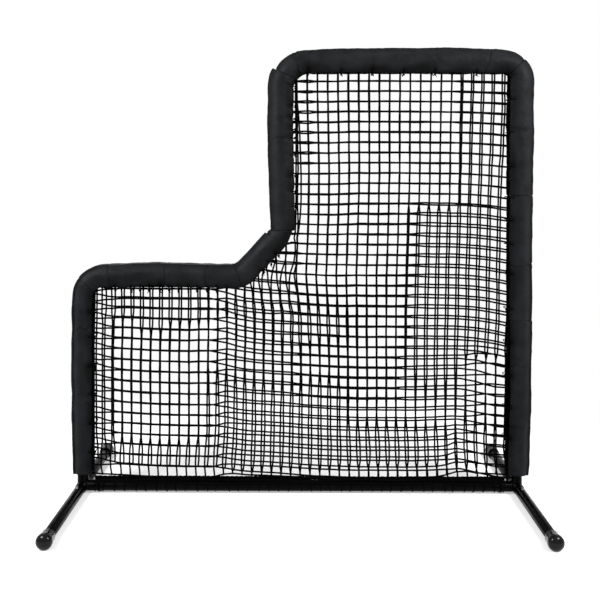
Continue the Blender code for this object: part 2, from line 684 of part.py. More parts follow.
def build_rail_tie(side, sign):
    """Make the cord tie round one end of the bottom rail, with its knot underneath."""
    radius = TUBE_RADIUS + SEAT_GAP + TIE_CORD_RADIUS
    points = []
    for index in range(TIE_SEGMENTS):
        angle = 2 * math.pi * index / TIE_SEGMENTS
        points.append((sign * TIE_X, SCREEN_Y + radius * math.cos(angle), AXIS_HEIGHT + radius * math.sin(angle)))
    tie = curve_to_mesh(make_curve(side + "_rail_tie", points, TIE_CORD_RADIUS, 6, cyclic=True))
    knot_mesh = bpy.data.meshes.new(side + "_rail_tie_knot")
    work = bmesh.new()
    bmesh.ops.create_uvsphere(work, u_segments=10, v_segments=6, radius=TIE_KNOT_RADIUS)
    work.to_mesh(knot_mesh)
    work.free()
    knot = bpy.data.objects.new(side + "_rail_tie_knot", knot_mesh)
    bpy.context.scene.collection.objects.link(knot)
    drop = TUBE_RADIUS + SEAT_GAP + TIE_KNOT_RADIUS
    knot.location = (sign * (TIE_X + 0.2 * MM), SCREEN_Y + 0.3 * MM, AXIS_HEIGHT - drop)
    add_boolean(tie, keep_cutter(knot), "UNION")
    keep_part(tie, "knotted_net_cord")


def build_floor_cutter():
    """Make the block that cuts the caps' undersides flat at floor level."""
    bpy.ops.mesh.primitive_cube_add(size=1.0)
    block = bpy.context.active_object
    block.name = "floor_cutter"
    depth = 0.05
    block.dimensions = (UPRIGHT_SPACING + 0.4, FRONT_REACH + REAR_REACH + 0.4, depth)
    block.location = (0.0, 0.0, -depth / 2)
    return keep_cutter(block)


FLOOR_CUTTER = build_floor_cutter()


def main():
    """Build every piece of the screen."""
    build_frame_tubes()
    build_splice_sleeves()
    for side, sign in (("left", -1.0), ("right", 1.0)):
        build_corner_fitting(side, sign)
        build_half_leg(side, sign, "front", -1.0, FRONT_REACH)
        build_half_leg(side, sign, "rear", 1.0, REAR_REACH)
        build_rail_tie(side, sign)
    build_pads()
    build_net_layer("front_net", SCREEN_Y - NET_LAYER_OFFSET)
    build_net_layer("rear_net", SCREEN_Y + NET_LAYER_OFFSET)
    build_hem_rope()


main()
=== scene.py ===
"""Baseball L screen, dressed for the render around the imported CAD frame.

The screen stands in the XZ plane at Y = SCREEN_Y, with its low side towards -X and its front towards -Y.
Z = 0 is the floor under the four ball-nosed end caps. All lengths are in metres.
"""

from __future__ import annotations

import logging
import math
from abc import ABC, abstractmethod
from dataclasses import dataclass, field
from enum import Enum
from typing import ClassVar, Sequence

import bmesh
import bpy
import numpy as np
from mathutils import Matrix, Vector


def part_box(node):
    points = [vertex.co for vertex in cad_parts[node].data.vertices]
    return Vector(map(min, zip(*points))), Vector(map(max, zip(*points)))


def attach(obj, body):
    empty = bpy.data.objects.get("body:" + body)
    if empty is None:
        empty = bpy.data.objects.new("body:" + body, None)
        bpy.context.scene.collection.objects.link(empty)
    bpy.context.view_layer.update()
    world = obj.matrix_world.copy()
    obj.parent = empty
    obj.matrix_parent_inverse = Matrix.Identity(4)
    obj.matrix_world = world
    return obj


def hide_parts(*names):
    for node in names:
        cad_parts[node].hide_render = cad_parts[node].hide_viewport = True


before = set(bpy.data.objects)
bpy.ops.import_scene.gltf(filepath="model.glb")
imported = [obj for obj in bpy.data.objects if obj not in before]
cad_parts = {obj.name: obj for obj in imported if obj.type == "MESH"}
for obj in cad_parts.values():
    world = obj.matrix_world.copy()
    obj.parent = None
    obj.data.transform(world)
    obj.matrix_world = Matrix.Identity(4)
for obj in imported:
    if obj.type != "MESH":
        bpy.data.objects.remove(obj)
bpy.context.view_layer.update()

LOG = logging.getLogger("l_screen")
MM = 0.001

# Places that the CAD sets, repeated here because the scene reads only the frame
SCREEN_Y = 55.5 * MM
AXIS_HEIGHT = 32.7 * MM
HALF_SPACING = 1.010
TUBE_RADIUS = 25.4 * MM
NET_LAYER_OFFSET = 27.7 * MM


class Labelled(Enum):
    """Choices whose names stand in node names."""

    @property
    def label(self) -> str:
        """Return the choice's word in node names."""
        return self.name.lower()


class Side(Labelled):
    """The two uprights' sides, with the sign of X."""

    LEFT = -1.0
    RIGHT = 1.0


class End(Labelled):
    """The two ends of a foot, with the sign of Y."""

    FRONT = -1.0
    REAR = 1.0


class Slot(Enum):
    """The record's material slots."""

    TUBE = "frame_tube"
    SLEEVE = "joint_sleeve"
    COVER = "pad_cover"
    CORD = "net_cord"
    CAP = "leg_cap"
    BUTTON = "snap_button"
    SPRING = "button_spring"


# Colour and node helpers

WHITE = (1.0, 1.0, 1.0, 1.0)


def srgb_to_linear(code: str) -> tuple[float, float, float, float]:
    """Turn a six-digit sRGB hex code into linear colour.

    Args:
        code: two hex digits each for red, green and blue.

    Returns:
        Linear red, green, blue and an alpha of 1.
    """
    channels = [int(code[start:start + 2], 16) / 255 for start in (0, 2, 4)]
    linear = [c / 12.92 if c <= 0.04045 else ((c + 0.055) / 1.055) ** 2.4 for c in channels]
    return (linear[0], linear[1], linear[2], 1.0)


def add_node(
    tree: bpy.types.NodeTree,
    kind: str,
    inputs: dict[str | int, object] | None = None,
    **settings: object,
) -> bpy.types.Node:
    """Add a node with its settings, values and links.

    Args:
        tree: the tree that gets the node.
        kind: Blender's type name of the node, without its ShaderNode.
        inputs: a value, an output socket, or a node for its result, for each input by name or number.
        settings: the node's own properties.

    Returns:
        The new node.
    """
    node = tree.nodes.new("ShaderNode" + kind)
    for name, value in settings.items():
        setattr(node, name, value)
    for socket, value in (inputs or {}).items():
        if isinstance(value, bpy.types.Node):
            value = value.outputs[2 if value.bl_idname == "ShaderNodeMix" else 0]
        if isinstance(value, bpy.types.NodeSocket):
            tree.links.new(value, node.inputs[socket])
        else:
            node.inputs[socket].default_value = value
    return node


# Finishes

Look = tuple[bpy.types.Node, bpy.types.Node, bpy.types.Node]


@dataclass(frozen=True)
class Finish(ABC):
    """A surface finish, named for the real substance."""

    name: ClassVar[str]
    specular: float = 0.5
    metallic: float = 0.0

    def material(self) -> bpy.types.Material:
        """Return the finish's material, made on its first use."""
        found = bpy.data.materials.get(self.name)
        if found is not None:
            return found
        material = bpy.data.materials.new(self.name)
        material.use_nodes = True
        tree = material.node_tree
        tree.nodes.clear()
        colour, rough, relief = self.dress(tree)
        shader = add_node(tree, "BsdfPrincipled", {
            "Base Color": colour, "Roughness": rough, "Normal": relief,
            "Specular IOR Level": self.specular, "Metallic": self.metallic})
        add_node(tree, "OutputMaterial", {"Surface": shader})
        return material

    @abstractmethod
    def dress(self, tree: bpy.types.NodeTree) -> Look:
        """Add the finish's nodes.

        Args:
            tree: the material's tree.

        Returns:
            The nodes that give the colour, the roughness and the relief.
        """


@dataclass(frozen=True)
class PowderCoatedSteel(Finish):
    """Polyester powder coat, baked on steel tube: deep black, a glassy skin with a soft orange peel."""

    name: ClassVar[str] = "black_polyester_powder_coat"
    colour: str = "020202"
    dust_colour: str = "08090A"
    specular: float = 0.03
    roughness: float = 0.24
    roughness_swing: float = 0.07
    peel_size: float = 2.6 * MM  # real orange peel is 1 to 3 mm across
    peel_depth: float = 0.012 * MM
    handling_size: float = 45.0 * MM  # smudges as wide as a palm

    def dress(self, tree: bpy.types.NodeTree) -> Look:
        """Add the orange peel, the smudges and the faint dust."""
        place = add_node(tree, "TexCoord").outputs["Object"]
        peel = add_node(tree, "TexNoise", {
            "Vector": place, "Scale": 1 / self.peel_size, "Detail": 1.5, "Roughness": 0.45})
        smudge = add_node(tree, "TexNoise", {
            "Vector": place, "Scale": 1 / self.handling_size, "Detail": 4.0, "Roughness": 0.6})
        rough = add_node(tree, "MapRange", {
            "Value": smudge, "From Min": 0.35, "From Max": 0.70,
            "To Min": self.roughness - self.roughness_swing, "To Max": self.roughness + self.roughness_swing})
        dust = add_node(tree, "MapRange", {
            "Value": smudge, "From Min": 0.52, "From Max": 0.72, "To Max": 0.55})
        colour = add_node(tree, "Mix", {
            0: dust, 6: srgb_to_linear(self.colour), 7: srgb_to_linear(self.dust_colour)}, data_type="RGBA")
        bump = add_node(tree, "Bump", {"Height": peel, "Strength": 0.35, "Distance": self.peel_depth * 10})
        return colour, rough, bump


@dataclass(frozen=True)
class DipMouldedVinyl(Finish):
    """Dip-moulded PVC: thick glossy black that turns two soft lamps into two small bright spots."""

    name: ClassVar[str] = "glossy_black_moulded_vinyl"
    colour: str = "040404"
    scuff_colour: str = "18191A"
    specular: float = 0.16
    roughness: float = 0.10
    scuff_size: float = 14.0 * MM
    ripple_size: float = 9.0 * MM  # slow flow marks left by dipping
    ripple_depth: float = 0.05 * MM

    def dress(self, tree: bpy.types.NodeTree) -> Look:
        """Add flow marks and the scuffs near the floor."""
        place = add_node(tree, "TexCoord").outputs["Object"]
        ripple = add_node(tree, "TexNoise", {"Vector": place, "Scale": 1 / self.ripple_size, "Detail": 1.0})
        scuff = add_node(tree, "TexNoise", {
            "Vector": place, "Scale": 1 / self.scuff_size, "Detail": 6.0, "Roughness": 0.7})
        height = add_node(tree, "SeparateXYZ", {"Vector": place})
        low = add_node(tree, "MapRange", {
            "Value": height.outputs["Z"], "From Min": 16.0 * MM, "From Max": 0.0})
        worn = add_node(tree, "Math", {0: low, 1: scuff}, operation="MULTIPLY")
        colour = add_node(tree, "Mix", {
            0: worn, 6: srgb_to_linear(self.colour), 7: srgb_to_linear(self.scuff_colour)}, data_type="RGBA")
        rough = add_node(tree, "MapRange", {
            "Value": worn, "From Max": 0.6, "To Min": self.roughness, "To Max": 0.45})
        bump = add_node(tree, "Bump", {"Height": ripple, "Strength": 0.3, "Distance": self.ripple_depth * 4})
        return colour, rough, bump


@dataclass(frozen=True)
class CoatedNylonCover(Finish):
    """Polyurethane-coated oxford nylon, sewn: dull charcoal, with a fine weave and hem stitching.

    It carries a painted highlight along its crown, and painted shade keeps it near black by the slit and in its
    creases.
    """

    name: ClassVar[str] = "charcoal_coated_oxford_nylon"
    colour: str = "131415"
    faded_colour: str = "191A1C"
    # painted highlight: the lighter colour of the band along the crown
    crown_colour: str = "1F2123"
    # painted shade: near black by the slit and in the creases, folds and tie pulls
    fold_colour: str = "030303"
    stitch_colour: str = "0C0D0E"
    specular: float = 0.035
    roughness: float = 0.46
    thread_spacing: float = 1.5 * MM  # real oxford threads lie 0.5 mm apart, too fine to show, so drawn coarser
    weave_depth: float = 0.10 * MM
    fade_size: float = 70.0 * MM
    drape_size: float = 22.0 * MM
    drape_depth: float = 0.5 * MM
    stitch_length: float = 6.0 * MM
    stitch_inset: float = 13.0 * MM
    skin_width: float = 0.318  # round the pad, lip to lip

    def dress(self, tree: bpy.types.NodeTree) -> Look:
        """Add the weave, the slack of the cloth over foam, fading, the painted highlight and shade, and the stitched
        hems.
        """
        cloth = add_node(tree, "UVMap", uv_map="cloth").outputs["UV"]
        place = add_node(tree, "TexCoord").outputs["Object"]
        axes = add_node(tree, "SeparateXYZ", {"Vector": cloth})
        fade = add_node(tree, "TexNoise", {
            "Vector": place, "Scale": 1 / self.fade_size, "Detail": 5.0, "Roughness": 0.55})
        drape = add_node(tree, "TexNoise", {
            "Vector": place, "Scale": 1 / self.drape_size, "Detail": 2.5, "Roughness": 0.5,
            "Distortion": 0.6})
        faded = add_node(tree, "MapRange", {"Value": fade, "From Min": 0.38, "From Max": 0.66})
        tone = add_node(tree, "Mix", {
            0: faded, 6: srgb_to_linear(self.colour), 7: srgb_to_linear(self.faded_colour)}, data_type="RGBA")
        threads = []
        for axis in ("X", "Y"):
            turns = add_node(tree, "Math", {
                0: axes.outputs[axis], 1: 2 * math.pi / self.thread_spacing}, operation="MULTIPLY")
            threads.append(add_node(tree, "Math", {0: turns}, operation="SINE"))
        weave = add_node(tree, "Math", {0: threads[0], 1: threads[1]}, operation="MULTIPLY")
        stitched = self.stitch_mask(tree, axes)
        # painted highlight: a lighter band along the crown, from the mesh's crown attribute
        crown = add_node(tree, "Attribute", attribute_name="crown").outputs["Fac"]
        with_painted_highlight = add_node(tree, "Mix", {
            0: crown, 6: tone, 7: srgb_to_linear(self.crown_colour)}, data_type="RGBA")
        # painted shade: darkens the cover by the slit and in its creases, from the mesh's fold attribute
        fold = add_node(tree, "Attribute", attribute_name="fold").outputs["Fac"]
        with_painted_shade = add_node(tree, "Mix", {
            0: fold, 6: with_painted_highlight, 7: srgb_to_linear(self.fold_colour)}, data_type="RGBA")
        colour = add_node(tree, "Mix", {
            0: stitched, 6: with_painted_shade, 7: srgb_to_linear(self.stitch_colour)}, data_type="RGBA")
        soft = add_node(tree, "Bump", {"Height": drape, "Strength": 0.55, "Distance": self.drape_depth * 6})
        fine = add_node(tree, "Bump", {
            "Height": weave, "Strength": 0.30, "Distance": self.weave_depth, "Normal": soft})
        sewn = add_node(tree, "Bump", {
            "Height": stitched, "Strength": 0.6, "Distance": 0.5 * MM, "Normal": fine})
        rough = add_node(tree, "MapRange", {
            "Value": fade, "From Min": 0.3, "From Max": 0.7, "To Min": self.roughness - 0.06,
            "To Max": self.roughness + 0.08})
        return colour, rough, sewn

    def stitch_mask(self, tree: bpy.types.NodeTree, axes: bpy.types.Node) -> bpy.types.Node:
        """Mark the stitches of the two hems along the lips.

        Args:
            tree: the material's tree.
            axes: the node that splits the cloth's own coordinates.

        Returns:
            A node that gives 1 on a stitch and 0 beside it.
        """
        middle = self.skin_width / 2
        off_middle = add_node(tree, "Math", {0: axes.outputs["Y"], 1: middle}, operation="SUBTRACT")
        across = add_node(tree, "Math", {0: off_middle}, operation="ABSOLUTE")
        off_line = add_node(tree, "Math", {0: across, 1: middle - self.stitch_inset}, operation="SUBTRACT")
        gap = add_node(tree, "Math", {0: off_line}, operation="ABSOLUTE")
        on_line = add_node(tree, "Math", {0: gap, 1: 0.9 * MM}, operation="LESS_THAN")
        count = add_node(tree, "Math", {
            0: axes.outputs["X"], 1: 1 / self.stitch_length}, operation="MULTIPLY")
        part = add_node(tree, "Math", {0: count}, operation="FRACT")
        thread = add_node(tree, "Math", {0: part, 1: 0.7}, operation="LESS_THAN")
        return add_node(tree, "Math", {0: on_line, 1: thread}, operation="MULTIPLY")


@dataclass(frozen=True)
class TwistedTwine(Finish):
    """Tarred polyethylene twine, laid from three strands: flat black with the strands' slant just showing."""

    name: ClassVar[str] = "black_twisted_polyethylene_twine"
    colour: str = "040404"
    worn_colour: str = "0A0A0A"
    specular: float = 0.01
    roughness: float = 0.62
    strands: float = 3.0
    lay: float = 13.0 * MM  # real lay of a 3 mm twine is 8 mm; drawn longer, as the cord is drawn thicker
    strand_depth: float = 0.5 * MM
    wear_size: float = 20.0 * MM

    def dress(self, tree: bpy.types.NodeTree) -> Look:
        """Add the strands' slant and the rubbed places."""
        cord = add_node(tree, "UVMap", uv_map="cord").outputs["UV"]
        place = add_node(tree, "TexCoord").outputs["Object"]
        axes = add_node(tree, "SeparateXYZ", {"Vector": cord})
        round_it = add_node(tree, "Math", {0: axes.outputs["Y"], 1: self.strands}, operation="MULTIPLY")
        phase = add_node(tree, "Math", {
            0: axes.outputs["X"], 1: 1 / self.lay, 2: round_it}, operation="MULTIPLY_ADD")
        angle = add_node(tree, "Math", {0: phase, 1: 2 * math.pi}, operation="MULTIPLY")
        strand = add_node(tree, "Math", {0: angle}, operation="SINE")
        wear = add_node(tree, "TexNoise", {
            "Vector": place, "Scale": 1 / self.wear_size, "Detail": 4.0, "Roughness": 0.6})
        crown = add_node(tree, "MapRange", {"Value": strand, "From Min": 0.2, "From Max": 1.0})
        rubbed = add_node(tree, "Math", {0: crown, 1: wear}, operation="MULTIPLY")
        colour = add_node(tree, "Mix", {
            0: rubbed, 6: srgb_to_linear(self.colour), 7: srgb_to_linear(self.worn_colour)}, data_type="RGBA")
        bump = add_node(tree, "Bump", {"Height": strand, "Strength": 0.7, "Distance": self.strand_depth})
        rough = add_node(tree, "MapRange", {
            "Value": wear, "From Min": 0.3, "From Max": 0.7, "To Min": self.roughness - 0.08,
            "To Max": self.roughness + 0.08})
        return colour, rough, bump


@dataclass(frozen=True)
class PlatedSteel(Finish):
    """Steel with a thin metal plating: grey, with fine drawing marks and cloudy passivation."""

    name: ClassVar[str] = "zinc_plated_steel"
    colour: str = "8D9196"
    cloud_colour: str = "A9A58F"
    metallic: float = 1.0
    roughness: float = 0.34
    grain_spacing: float = 0.4 * MM
    cloud_size: float = 6.0 * MM

    def dress(self, tree: bpy.types.NodeTree) -> Look:
        """Add the drawing marks and the clouds."""
        place = add_node(tree, "TexCoord").outputs["Object"]
        stretched = add_node(tree, "Mapping", {"Vector": place, "Scale": (1.0, 0.06, 1.0)})
        grain = add_node(tree, "TexNoise", {
            "Vector": stretched, "Scale": 1 / self.grain_spacing, "Detail": 2.0})
        cloud = add_node(tree, "TexNoise", {"Vector": place, "Scale": 1 / self.cloud_size, "Detail": 4.0})
        patch = add_node(tree, "MapRange", {"Value": cloud, "From Min": 0.45, "From Max": 0.7, "To Max": 0.6})
        colour = add_node(tree, "Mix", {
            0: patch, 6: srgb_to_linear(self.colour), 7: srgb_to_linear(self.cloud_colour)}, data_type="RGBA")
        rough = add_node(tree, "MapRange", {
            "Value": grain, "From Min": 0.3, "From Max": 0.7, "To Min": self.roughness - 0.08,
            "To Max": self.roughness + 0.12})
        bump = add_node(tree, "Bump", {"Height": grain, "Strength": 0.2, "Distance": 0.05 * MM})
        return colour, rough, bump


@dataclass(frozen=True)
class BluedSpringSteel(PlatedSteel):
    """Tempered spring steel, blued in oil: dark grey-blue, with rolling marks along the strip."""

    name: ClassVar[str] = "blued_spring_steel"
    colour: str = "4A4D55"
    cloud_colour: str = "57504A"
    roughness: float = 0.38


POWDER_COAT = PowderCoatedSteel()
VINYL = DipMouldedVinyl()
COVER = CoatedNylonCover()
TWINE = TwistedTwine()
ZINC = PlatedSteel()
SPRING_STEEL = BluedSpringSteel()


# Mesh helpers


def mesh_object(
    name: str,
    points: np.ndarray,
    faces: Sequence[Sequence[int]],
    finish: Finish,
    uv: np.ndarray | None = None,
    uv_name: str = "cord",
) -> bpy.types.Object:
    """Make a smooth-shaded mesh object from points and faces.

    Args:
        name: the piece's name.
        points: N rows of x, y, z.
        faces: point numbers of each face.
        finish: the piece's finish.
        uv: one row of u, v for each face corner, in the faces' order.
        uv_name: name of the UV map.

    Returns:
        The new object, linked to the scene.
    """
    mesh = bpy.data.meshes.new(name)
    mesh.from_pydata(points.tolist(), [], [list(face) for face in faces])
    if uv is not None:
        layer = mesh.uv_layers.new(name=uv_name)
        layer.data.foreach_set("uv", np.asarray(uv, dtype=np.float32).ravel())
    mesh.polygons.foreach_set("use_smooth", [True] * len(mesh.polygons))
    mesh.materials.append(finish.material())
    mesh.update()
    obj = bpy.data.objects.new(name, mesh)
    bpy.context.scene.collection.objects.link(obj)
    return obj


@dataclass
class TubeBatch:
    """Collects swept tubes and small solids, to make one mesh of them."""

    sides: int = 6
    points: list[np.ndarray] = field(default_factory=list)
    faces: list[tuple[int, ...]] = field(default_factory=list)
    uvs: list[tuple[float, float]] = field(default_factory=list)
    count: int = 0

    def add_path(
        self,
        path: np.ndarray,
        radius: float | np.ndarray,
        reference: Sequence[float] | None = None,
        closed: bool = False,
    ) -> None:
        """Sweep a round section along a path.

        Args:
            path: N rows of x, y, z.
            radius: the section's radius, or one for each point.
            reference: a direction that the path never takes, to hold the section's turn; worked out if None.
            closed: whether the last point joins the first.
        """
        path = np.asarray(path, dtype=float)
        total = len(path)
        if closed:
            tangent = np.roll(path, -1, axis=0) - np.roll(path, 1, axis=0)
        else:
            tangent = np.gradient(path, axis=0)
        tangent /= np.linalg.norm(tangent, axis=1, keepdims=True) + 1e-12
        if reference is None:
            normal = carried_normals(path, tangent, closed)
        else:
            normal = np.cross(tangent, np.asarray(reference, dtype=float))
            normal /= np.linalg.norm(normal, axis=1, keepdims=True) + 1e-12
        binormal = np.cross(tangent, normal)
        turn = 2 * math.pi * np.arange(self.sides) / self.sides
        radii = np.broadcast_to(np.asarray(radius, dtype=float), (total,))[:, None, None]
        ring = (normal[:, None, :] * np.cos(turn)[None, :, None] + binormal[:, None, :] * np.sin(turn)[None, :, None])
        self.points.append((path[:, None, :] + ring * radii).reshape(-1, 3))
        step = np.linalg.norm(np.diff(path, axis=0, append=path[:1]), axis=1)
        along = np.concatenate([[0.0], np.cumsum(step)])
        base = self.count
        spans = total if closed else total - 1
        for i in range(spans):
            here, there = base + i * self.sides, base + ((i + 1) % total) * self.sides
            for j in range(self.sides):
                k = (j + 1) % self.sides
                self.faces.append((here + j, here + k, there + k, there + j))
                v0, v1 = j / self.sides, (j + 1) / self.sides
                self.uvs += [(along[i], v0), (along[i], v1), (along[i + 1], v1), (along[i + 1], v0)]
        if not closed:
            first = tuple(base + j for j in reversed(range(self.sides)))
            last_base = base + (total - 1) * self.sides
            last = tuple(last_base + j for j in range(self.sides))
            self.faces += [first, last]
            self.uvs += [(0.0, 0.0)] * self.sides + [(along[total - 1], 0.0)] * self.sides
        self.count += total * self.sides

    def add_copies(self, template: "TubeBatch", places: np.ndarray, turns: np.ndarray) -> None:
        """Add turned copies of another batch.

        Args:
            template: the batch to copy.
            places: N rows of x, y, z, where the copies' origins go.
            turns: N matrices of 3 by 3.
        """
        shape = np.concatenate(template.points)
        for place, turn in zip(places, turns):
            self.points.append(shape @ turn.T + place)
            base = self.count
            self.faces += [tuple(base + index for index in face) for face in template.faces]
            self.uvs += template.uvs
            self.count += len(shape)

    def make(self, name: str, finish: Finish) -> bpy.types.Object:
        """Make the mesh object of all that was added.

        Args:
            name: the piece's name.
            finish: the piece's finish.

        Returns:
            The new object.
        """
        return mesh_object(name, np.concatenate(self.points), self.faces, finish, np.array(self.uvs))


def carried_normals(path: np.ndarray, tangent: np.ndarray, closed: bool) -> np.ndarray:
    """Carry a normal along a path with as little turn as can be.

    Args:
        path: N rows of x, y, z.
        tangent: the unit direction at each point.
        closed: whether the path closes, so that the left-over turn is spread along it.

    Returns:
        A unit normal for each point.
    """
    helper = np.eye(3)[int(np.argmin(np.abs(tangent[0])))]
    current = np.cross(tangent[0], helper)
    normals = [current / np.linalg.norm(current)]
    for before, after in zip(tangent, tangent[1:]):
        axis = np.cross(before, after)
        sine, cosine = np.linalg.norm(axis), float(np.dot(before, after))
        moved = normals[-1]
        if sine > 1e-9:
            turn = Matrix.Rotation(math.atan2(sine, cosine), 3, Vector(axis / sine))
            moved = np.array(turn @ Vector(moved))
        moved = moved - after * np.dot(moved, after)
        normals.append(moved / np.linalg.norm(moved))
    result = np.array(normals)
    if closed:
        axis = np.cross(tangent[-1], tangent[0])
        sine, cosine = np.linalg.norm(axis), float(np.dot(tangent[-1], tangent[0]))
        last = result[-1]
        if sine > 1e-9:
            last = np.array(Matrix.Rotation(math.atan2(sine, cosine), 3, Vector(axis / sine)) @ Vector(last))
        spare = math.atan2(float(np.dot(np.cross(last, result[0]), tangent[0])), float(np.dot(last, result[0])))
        for index in range(len(result)):
            turn = Matrix.Rotation(spare * index / len(result), 3, Vector(tangent[index]))
            result[index] = np.array(turn @ Vector(result[index]))
    return result


def turned_object(
    name: str,
    profile: Sequence[tuple[float, float]],
    steps: int,
    place: Sequence[float],
    direction: Sequence[float],
    finish: Finish,
) -> bpy.types.Object:
    """Turn a closed or axis-to-axis profile round an axis.

    Args:
        name: the piece's name.
        profile: (radius, height) pairs; a radius of 0 is a point on the axis.
        steps: how many facets round.
        place: the axis's origin.
        direction: the axis's direction.
        finish: the piece's finish.

    Returns:
        The new object, its mesh in world coordinates.
    """
    rings: list[list[int]] = []
    points: list[Vector] = []
    for radius, height in profile:
        if radius <= 0.0:
            rings.append([len(points)])
            points.append(Vector((0.0, 0.0, height)))
            continue
        ring = []
        for index in range(steps):
            angle = 2 * math.pi * index / steps
            ring.append(len(points))
            points.append(Vector((radius * math.cos(angle), radius * math.sin(angle), height)))
        rings.append(ring)
    open_ends = len(rings[0]) == 1 and len(rings[-1]) == 1
    pairs = list(zip(rings, rings[1:])) if open_ends else list(zip(rings, rings[1:] + rings[:1]))
    faces: list[tuple[int, ...]] = []
    for first, second in pairs:
        for index in range(steps):
            after = (index + 1) % steps
            if len(first) == 1:
                faces.append((first[0], second[after], second[index]))
            elif len(second) == 1:
                faces.append((first[index], first[after], second[0]))
            else:
                faces.append((first[index], first[after], second[after], second[index]))
    turn = Vector(direction).to_track_quat("Z", "Y").to_matrix().to_4x4()
    move = Matrix.Translation(Vector(place)) @ turn
    world = np.array([move @ point for point in points])
    obj = mesh_object(name, world, faces, finish)
    tidy_normals(obj)
    return obj


def tidy_normals(obj: bpy.types.Object, sharp_angle: float = 40.0) -> None:
    """Turn a mesh's faces outwards and mark its sharp edges.

    Args:
        obj: the mesh object.
        sharp_angle: the angle in degrees from which an edge is sharp.
    """
    work = bmesh.new()
    work.from_mesh(obj.data)
    bmesh.ops.recalc_face_normals(work, faces=work.faces)
    work.to_mesh(obj.data)
    work.free()
    obj.data.set_sharp_from_angle(angle=math.radians(sharp_angle))


def apply_modifiers(obj: bpy.types.Object) -> None:
    """Replace a mesh by its evaluated form and clear the modifiers."""
    bpy.context.view_layer.update()
    evaluated = obj.evaluated_get(bpy.context.evaluated_depsgraph_get())
    mesh = bpy.data.meshes.new_from_object(evaluated)
    obj.modifiers.clear()
    old = obj.data
    obj.data = mesh
    bpy.data.meshes.remove(old)
    mesh.name = obj.name


def cut_and_join(
    body: bpy.types.Object,
    joined: Sequence[bpy.types.Object],
    cut: Sequence[bpy.types.Object],
) -> None:
    """Join and then cut a solid by others, which are used up.

    Args:
        body: the solid that stays.
        joined: the solids to add to it.
        cut: the solids to take away from it.
    """
    for operation, others in (("UNION", joined), ("DIFFERENCE", cut)):
        for other in others:
            modifier = body.modifiers.new(other.name, "BOOLEAN")
            modifier.operation = operation
            modifier.solver = "EXACT"
            modifier.object = other
    apply_modifiers(body)
    for other in [*joined, *cut]:
        bpy.data.objects.remove(other, do_unlink=True)
    body.data.polygons.foreach_set("use_smooth", [True] * len(body.data.polygons))
    body.data.set_sharp_from_angle(angle=math.radians(35))


def round_bar(
    name: str, start: Vector, end: Vector, radius: float, finish: Finish, chamfer: float = 0.0, steps: int = 72
) -> bpy.types.Object:
    """Make a solid round bar with chamfered ends.

    Args:
        name: the piece's name.
        start: the middle of one end.
        end: the middle of the other end.
        radius: the bar's radius.
        finish: the piece's finish.
        chamfer: how much is taken off the ends' edges.
        steps: how many facets round.

    Returns:
        The new object.
    """
    length = (end - start).length
    profile = [(0.0, 0.0), (radius - chamfer, 0.0)]
    if chamfer > 0.0:
        profile += [(radius, chamfer), (radius, length - chamfer)]
    profile += [(radius - chamfer, length), (0.0, length)]
    return turned_object(name, profile, steps, start, end - start, finish)


def pipe(
    name: str, start: Vector, end: Vector, radius: float, wall: float, finish: Finish, steps: int = 72
) -> bpy.types.Object:
    """Make an open tube with eased rims.

    Args:
        name: the piece's name.
        start: the middle of one end.
        end: the middle of the other end.
        radius: the outer radius.
        wall: the wall's thickness.
        finish: the piece's finish.
        steps: how many facets round.

    Returns:
        The new object.
    """
    length = (end - start).length
    ease = 0.4 * MM
    bore = radius - wall
    profile = [
        (bore, 0.0), (radius - ease, 0.0), (radius - 0.3 * ease, 0.3 * ease), (radius, ease),
        (radius, length - ease), (radius - 0.3 * ease, length - 0.3 * ease), (radius - ease, length), (bore, length),
    ]
    return turned_object(name, profile, steps, start, end - start, finish)


def hand_over(
    obj: bpy.types.Object, body: str = "frame", stands_for: Sequence[str] = ()
) -> bpy.types.Object:
    """Give a piece its body and the CAD nodes that it stands for.

    Args:
        obj: the piece.
        body: the body that it rides on.
        stands_for: the CAD nodes that it replaces.

    Returns:
        The piece.
    """
    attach(obj, body)
    if stands_for:
        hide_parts(*stands_for)
    LOG.info("%s: %d faces on %s", obj.name, len(obj.data.polygons), body)
    return obj


def smooth_step(value: np.ndarray | float, low: float, high: float) -> np.ndarray:
    """Rise smoothly from 0 at low to 1 at high."""
    share = np.clip((np.asarray(value, dtype=float) - low) / (high - low), 0.0, 1.0)
    return share * share * (3.0 - 2.0 * share)


def soft_window(value: np.ndarray | float, low: float, high: float, margin: float) -> np.ndarray:
    """Return 1 between low and high, and fall smoothly to 0 over a margin outside them."""
    return smooth_step(value, low - margin, low) * (1.0 - smooth_step(value, high, high + margin))


class Ripples:
    """A smooth seeded random field over two axes, as a sum of sines."""

    def __init__(self, seed: int, wave: float, terms: int = 9) -> None:
        """Draw the waves.

        Args:
            seed: the random seed.
            wave: the mean wavelength, in the axes' unit.
            terms: how many sines are summed.
        """
        draw = np.random.RandomState(seed)
        angle = draw.uniform(0, 2 * math.pi, terms)
        pitch = 2 * math.pi / (wave * draw.uniform(0.65, 1.5, terms))
        self.kx, self.ky = pitch * np.cos(angle), pitch * np.sin(angle)
        self.phase = draw.uniform(0, 2 * math.pi, terms)
        self.scale = 1.0 / math.sqrt(terms / 2)

    def at(self, x: np.ndarray | float, y: np.ndarray | float) -> np.ndarray:
        """Return the field's value, about -2 to 2, at the given places."""
        x, y = np.asarray(x, dtype=float), np.asarray(y, dtype=float)
        waves = np.sin(x[..., None] * self.kx + y[..., None] * self.ky + self.phase)
        return waves.sum(axis=-1) * self.scale


# The frame's centre line


class Corner(Enum):
    """Corners of the frame's centre line, from the left foot round to the right foot."""

    LEFT_FOOT = 0
    LOW = 1
    BRACE_FOOT = 2
    BRACE_HEAD = 3
    TOP_LEFT = 4
    TOP_RIGHT = 5
    RIGHT_FOOT = 6


